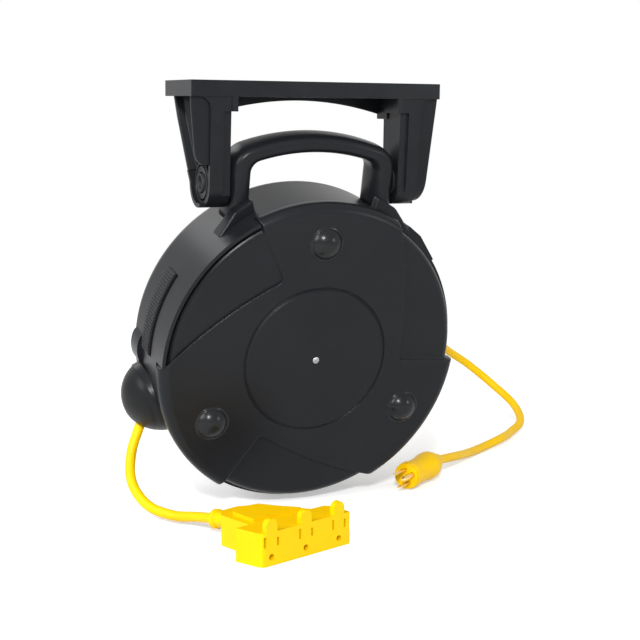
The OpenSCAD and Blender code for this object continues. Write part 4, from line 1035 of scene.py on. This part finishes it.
# Depth, places, way, then the head's radius and height and the shank's length
SCREWS = {
    "centre_screw": ("centre_screw_head", -0.3, [(0, 0)], FORWARD, 2.9, 1.8, 20),
    "cover_screws": (
        "cover_screw_heads", 86.9, [polar(128, at) for at in (2, 70, 110, 150, 240, 300)],
        BACKWARD, 3.2, 2.5, 60,
    ),
    "terminal_screws": (
        "terminal_screw_heads", 114, [polar(45, at) for at in (60, 180, 300)],
        BACKWARD, 3.0, 2.4, 18,
    ),
    "ball_screws": ("ball_screw_heads", 67, ball_screw_places(), BACKWARD, 3.2, 2.4, 16),
}

for replaced_node, (head_name, depth, spots, way, *head_sizes) in SCREWS.items():
    stands = [hung(x, depth, z) for x, z in spots]
    grow_screw_heads(head_name, stands, turned_to(way), *head_sizes, replaced_node)

# ------------------------------------------------------------------ floor and light

FLOOR_HALF, FLOOR_GLOW, SKY_GLOW = 30, 0.40, 0.48
LAMP_AIM = Vector((0, 0, -0.2))
# Place, width and watts
LAMPS = {
    "key": ((-1.9, -0.5, 0.9), 1.2, 36),
    "front": ((-0.9, -1.9, 1.0), 0.32, 52),
    "fill": ((1.5, -1.7, 0.3), 0.4, 7),
    "back": ((-0.4, 1.6, 1.0), 0.8, 4),
}


def looked_at(recipe):
    """1 for a ray that is seen straight, in a mirror or through glass, 0 for gathered light."""
    path = recipe.node("LightPath", {}).outputs
    kinds = ("Camera", "Glossy", "Transmission")
    return sum(Value(recipe, path[f"Is {kind} Ray"]) for kind in kinds)


def make_floor():
    """A pale floor that glows a little and turns as white as the backdrop far away."""
    h, z = FLOOR_HALF, FLOOR * MM - 0.0002
    mesh = bpy.data.meshes.new("studio_floor")
    mesh.from_pydata([(-h, -h, z), (h, -h, z), (h, h, z), (-h, h, z)], [], [(0, 1, 2, 3)])
    f = Finish("pale_floor")
    f.set(Base_Color=rgb(0.80, 0.80, 0.80), Roughness=0.8)
    f.shader.inputs["Specular IOR Level"].default_value = 0.0
    lit = f.shader.outputs[0]
    glow = f.node("Emission", {}, rgb(1, 1, 1), FLOOR_GLOW)
    near = f.node("AddShader", {}, lit, glow.outputs[0])
    apart = f.node("SeparateXYZ", {}, f.place).outputs
    x, y = Value(f, apart[0]), Value(f, apart[1])
    white = f.node("Emission", {}, rgb(1, 1, 1), 1.0)
    far = f.node("MixShader", {}, (x * x + y * y).ramp(0.8, 2.6), near.outputs[0], white.outputs[0])
    shown = f.node("MixShader", {}, looked_at(f), lit, far.outputs[0])
    f.feed(f.tree.nodes["Material Output"].inputs["Surface"], shown.outputs[0])
    mesh.materials.append(f.material)
    placed("studio_floor", mesh)


def make_backdrop():
    """A backdrop that is seen as white and lights the reel less than that."""
    world = bpy.data.worlds.new("studio")
    bpy.context.scene.world = world
    world.use_nodes = True
    sky = Recipe(world.node_tree)
    dim = sky.tree.nodes["Background"]
    dim.inputs["Color"].default_value = rgb(1, 1, 1)
    dim.inputs["Strength"].default_value = SKY_GLOW
    white = sky.node("Background", {}, rgb(1, 1, 1))
    shown = sky.node("MixShader", {}, looked_at(sky), dim.outputs[0], white.outputs[0])
    sky.feed(sky.tree.nodes["World Output"].inputs["Surface"], shown.outputs[0])


def make_lamps():
    for name, (place, width, watts) in LAMPS.items():
        data = bpy.data.lights.new(name, "AREA")
        data.shape, data.size, data.energy = "DISK", width, watts
        lamp = placed(name, data)
        lamp.location = place
        lamp.rotation_euler = (LAMP_AIM - Vector(place)).to_track_quat("-Z", "Y").to_euler()


make_floor()
make_backdrop()
make_lamps()
bpy.context.scene.view_settings.view_transform = "Standard"

tuple(run_at(BALL_END))
tuple(hung(GLAND_END, GLAND_Y, 0))
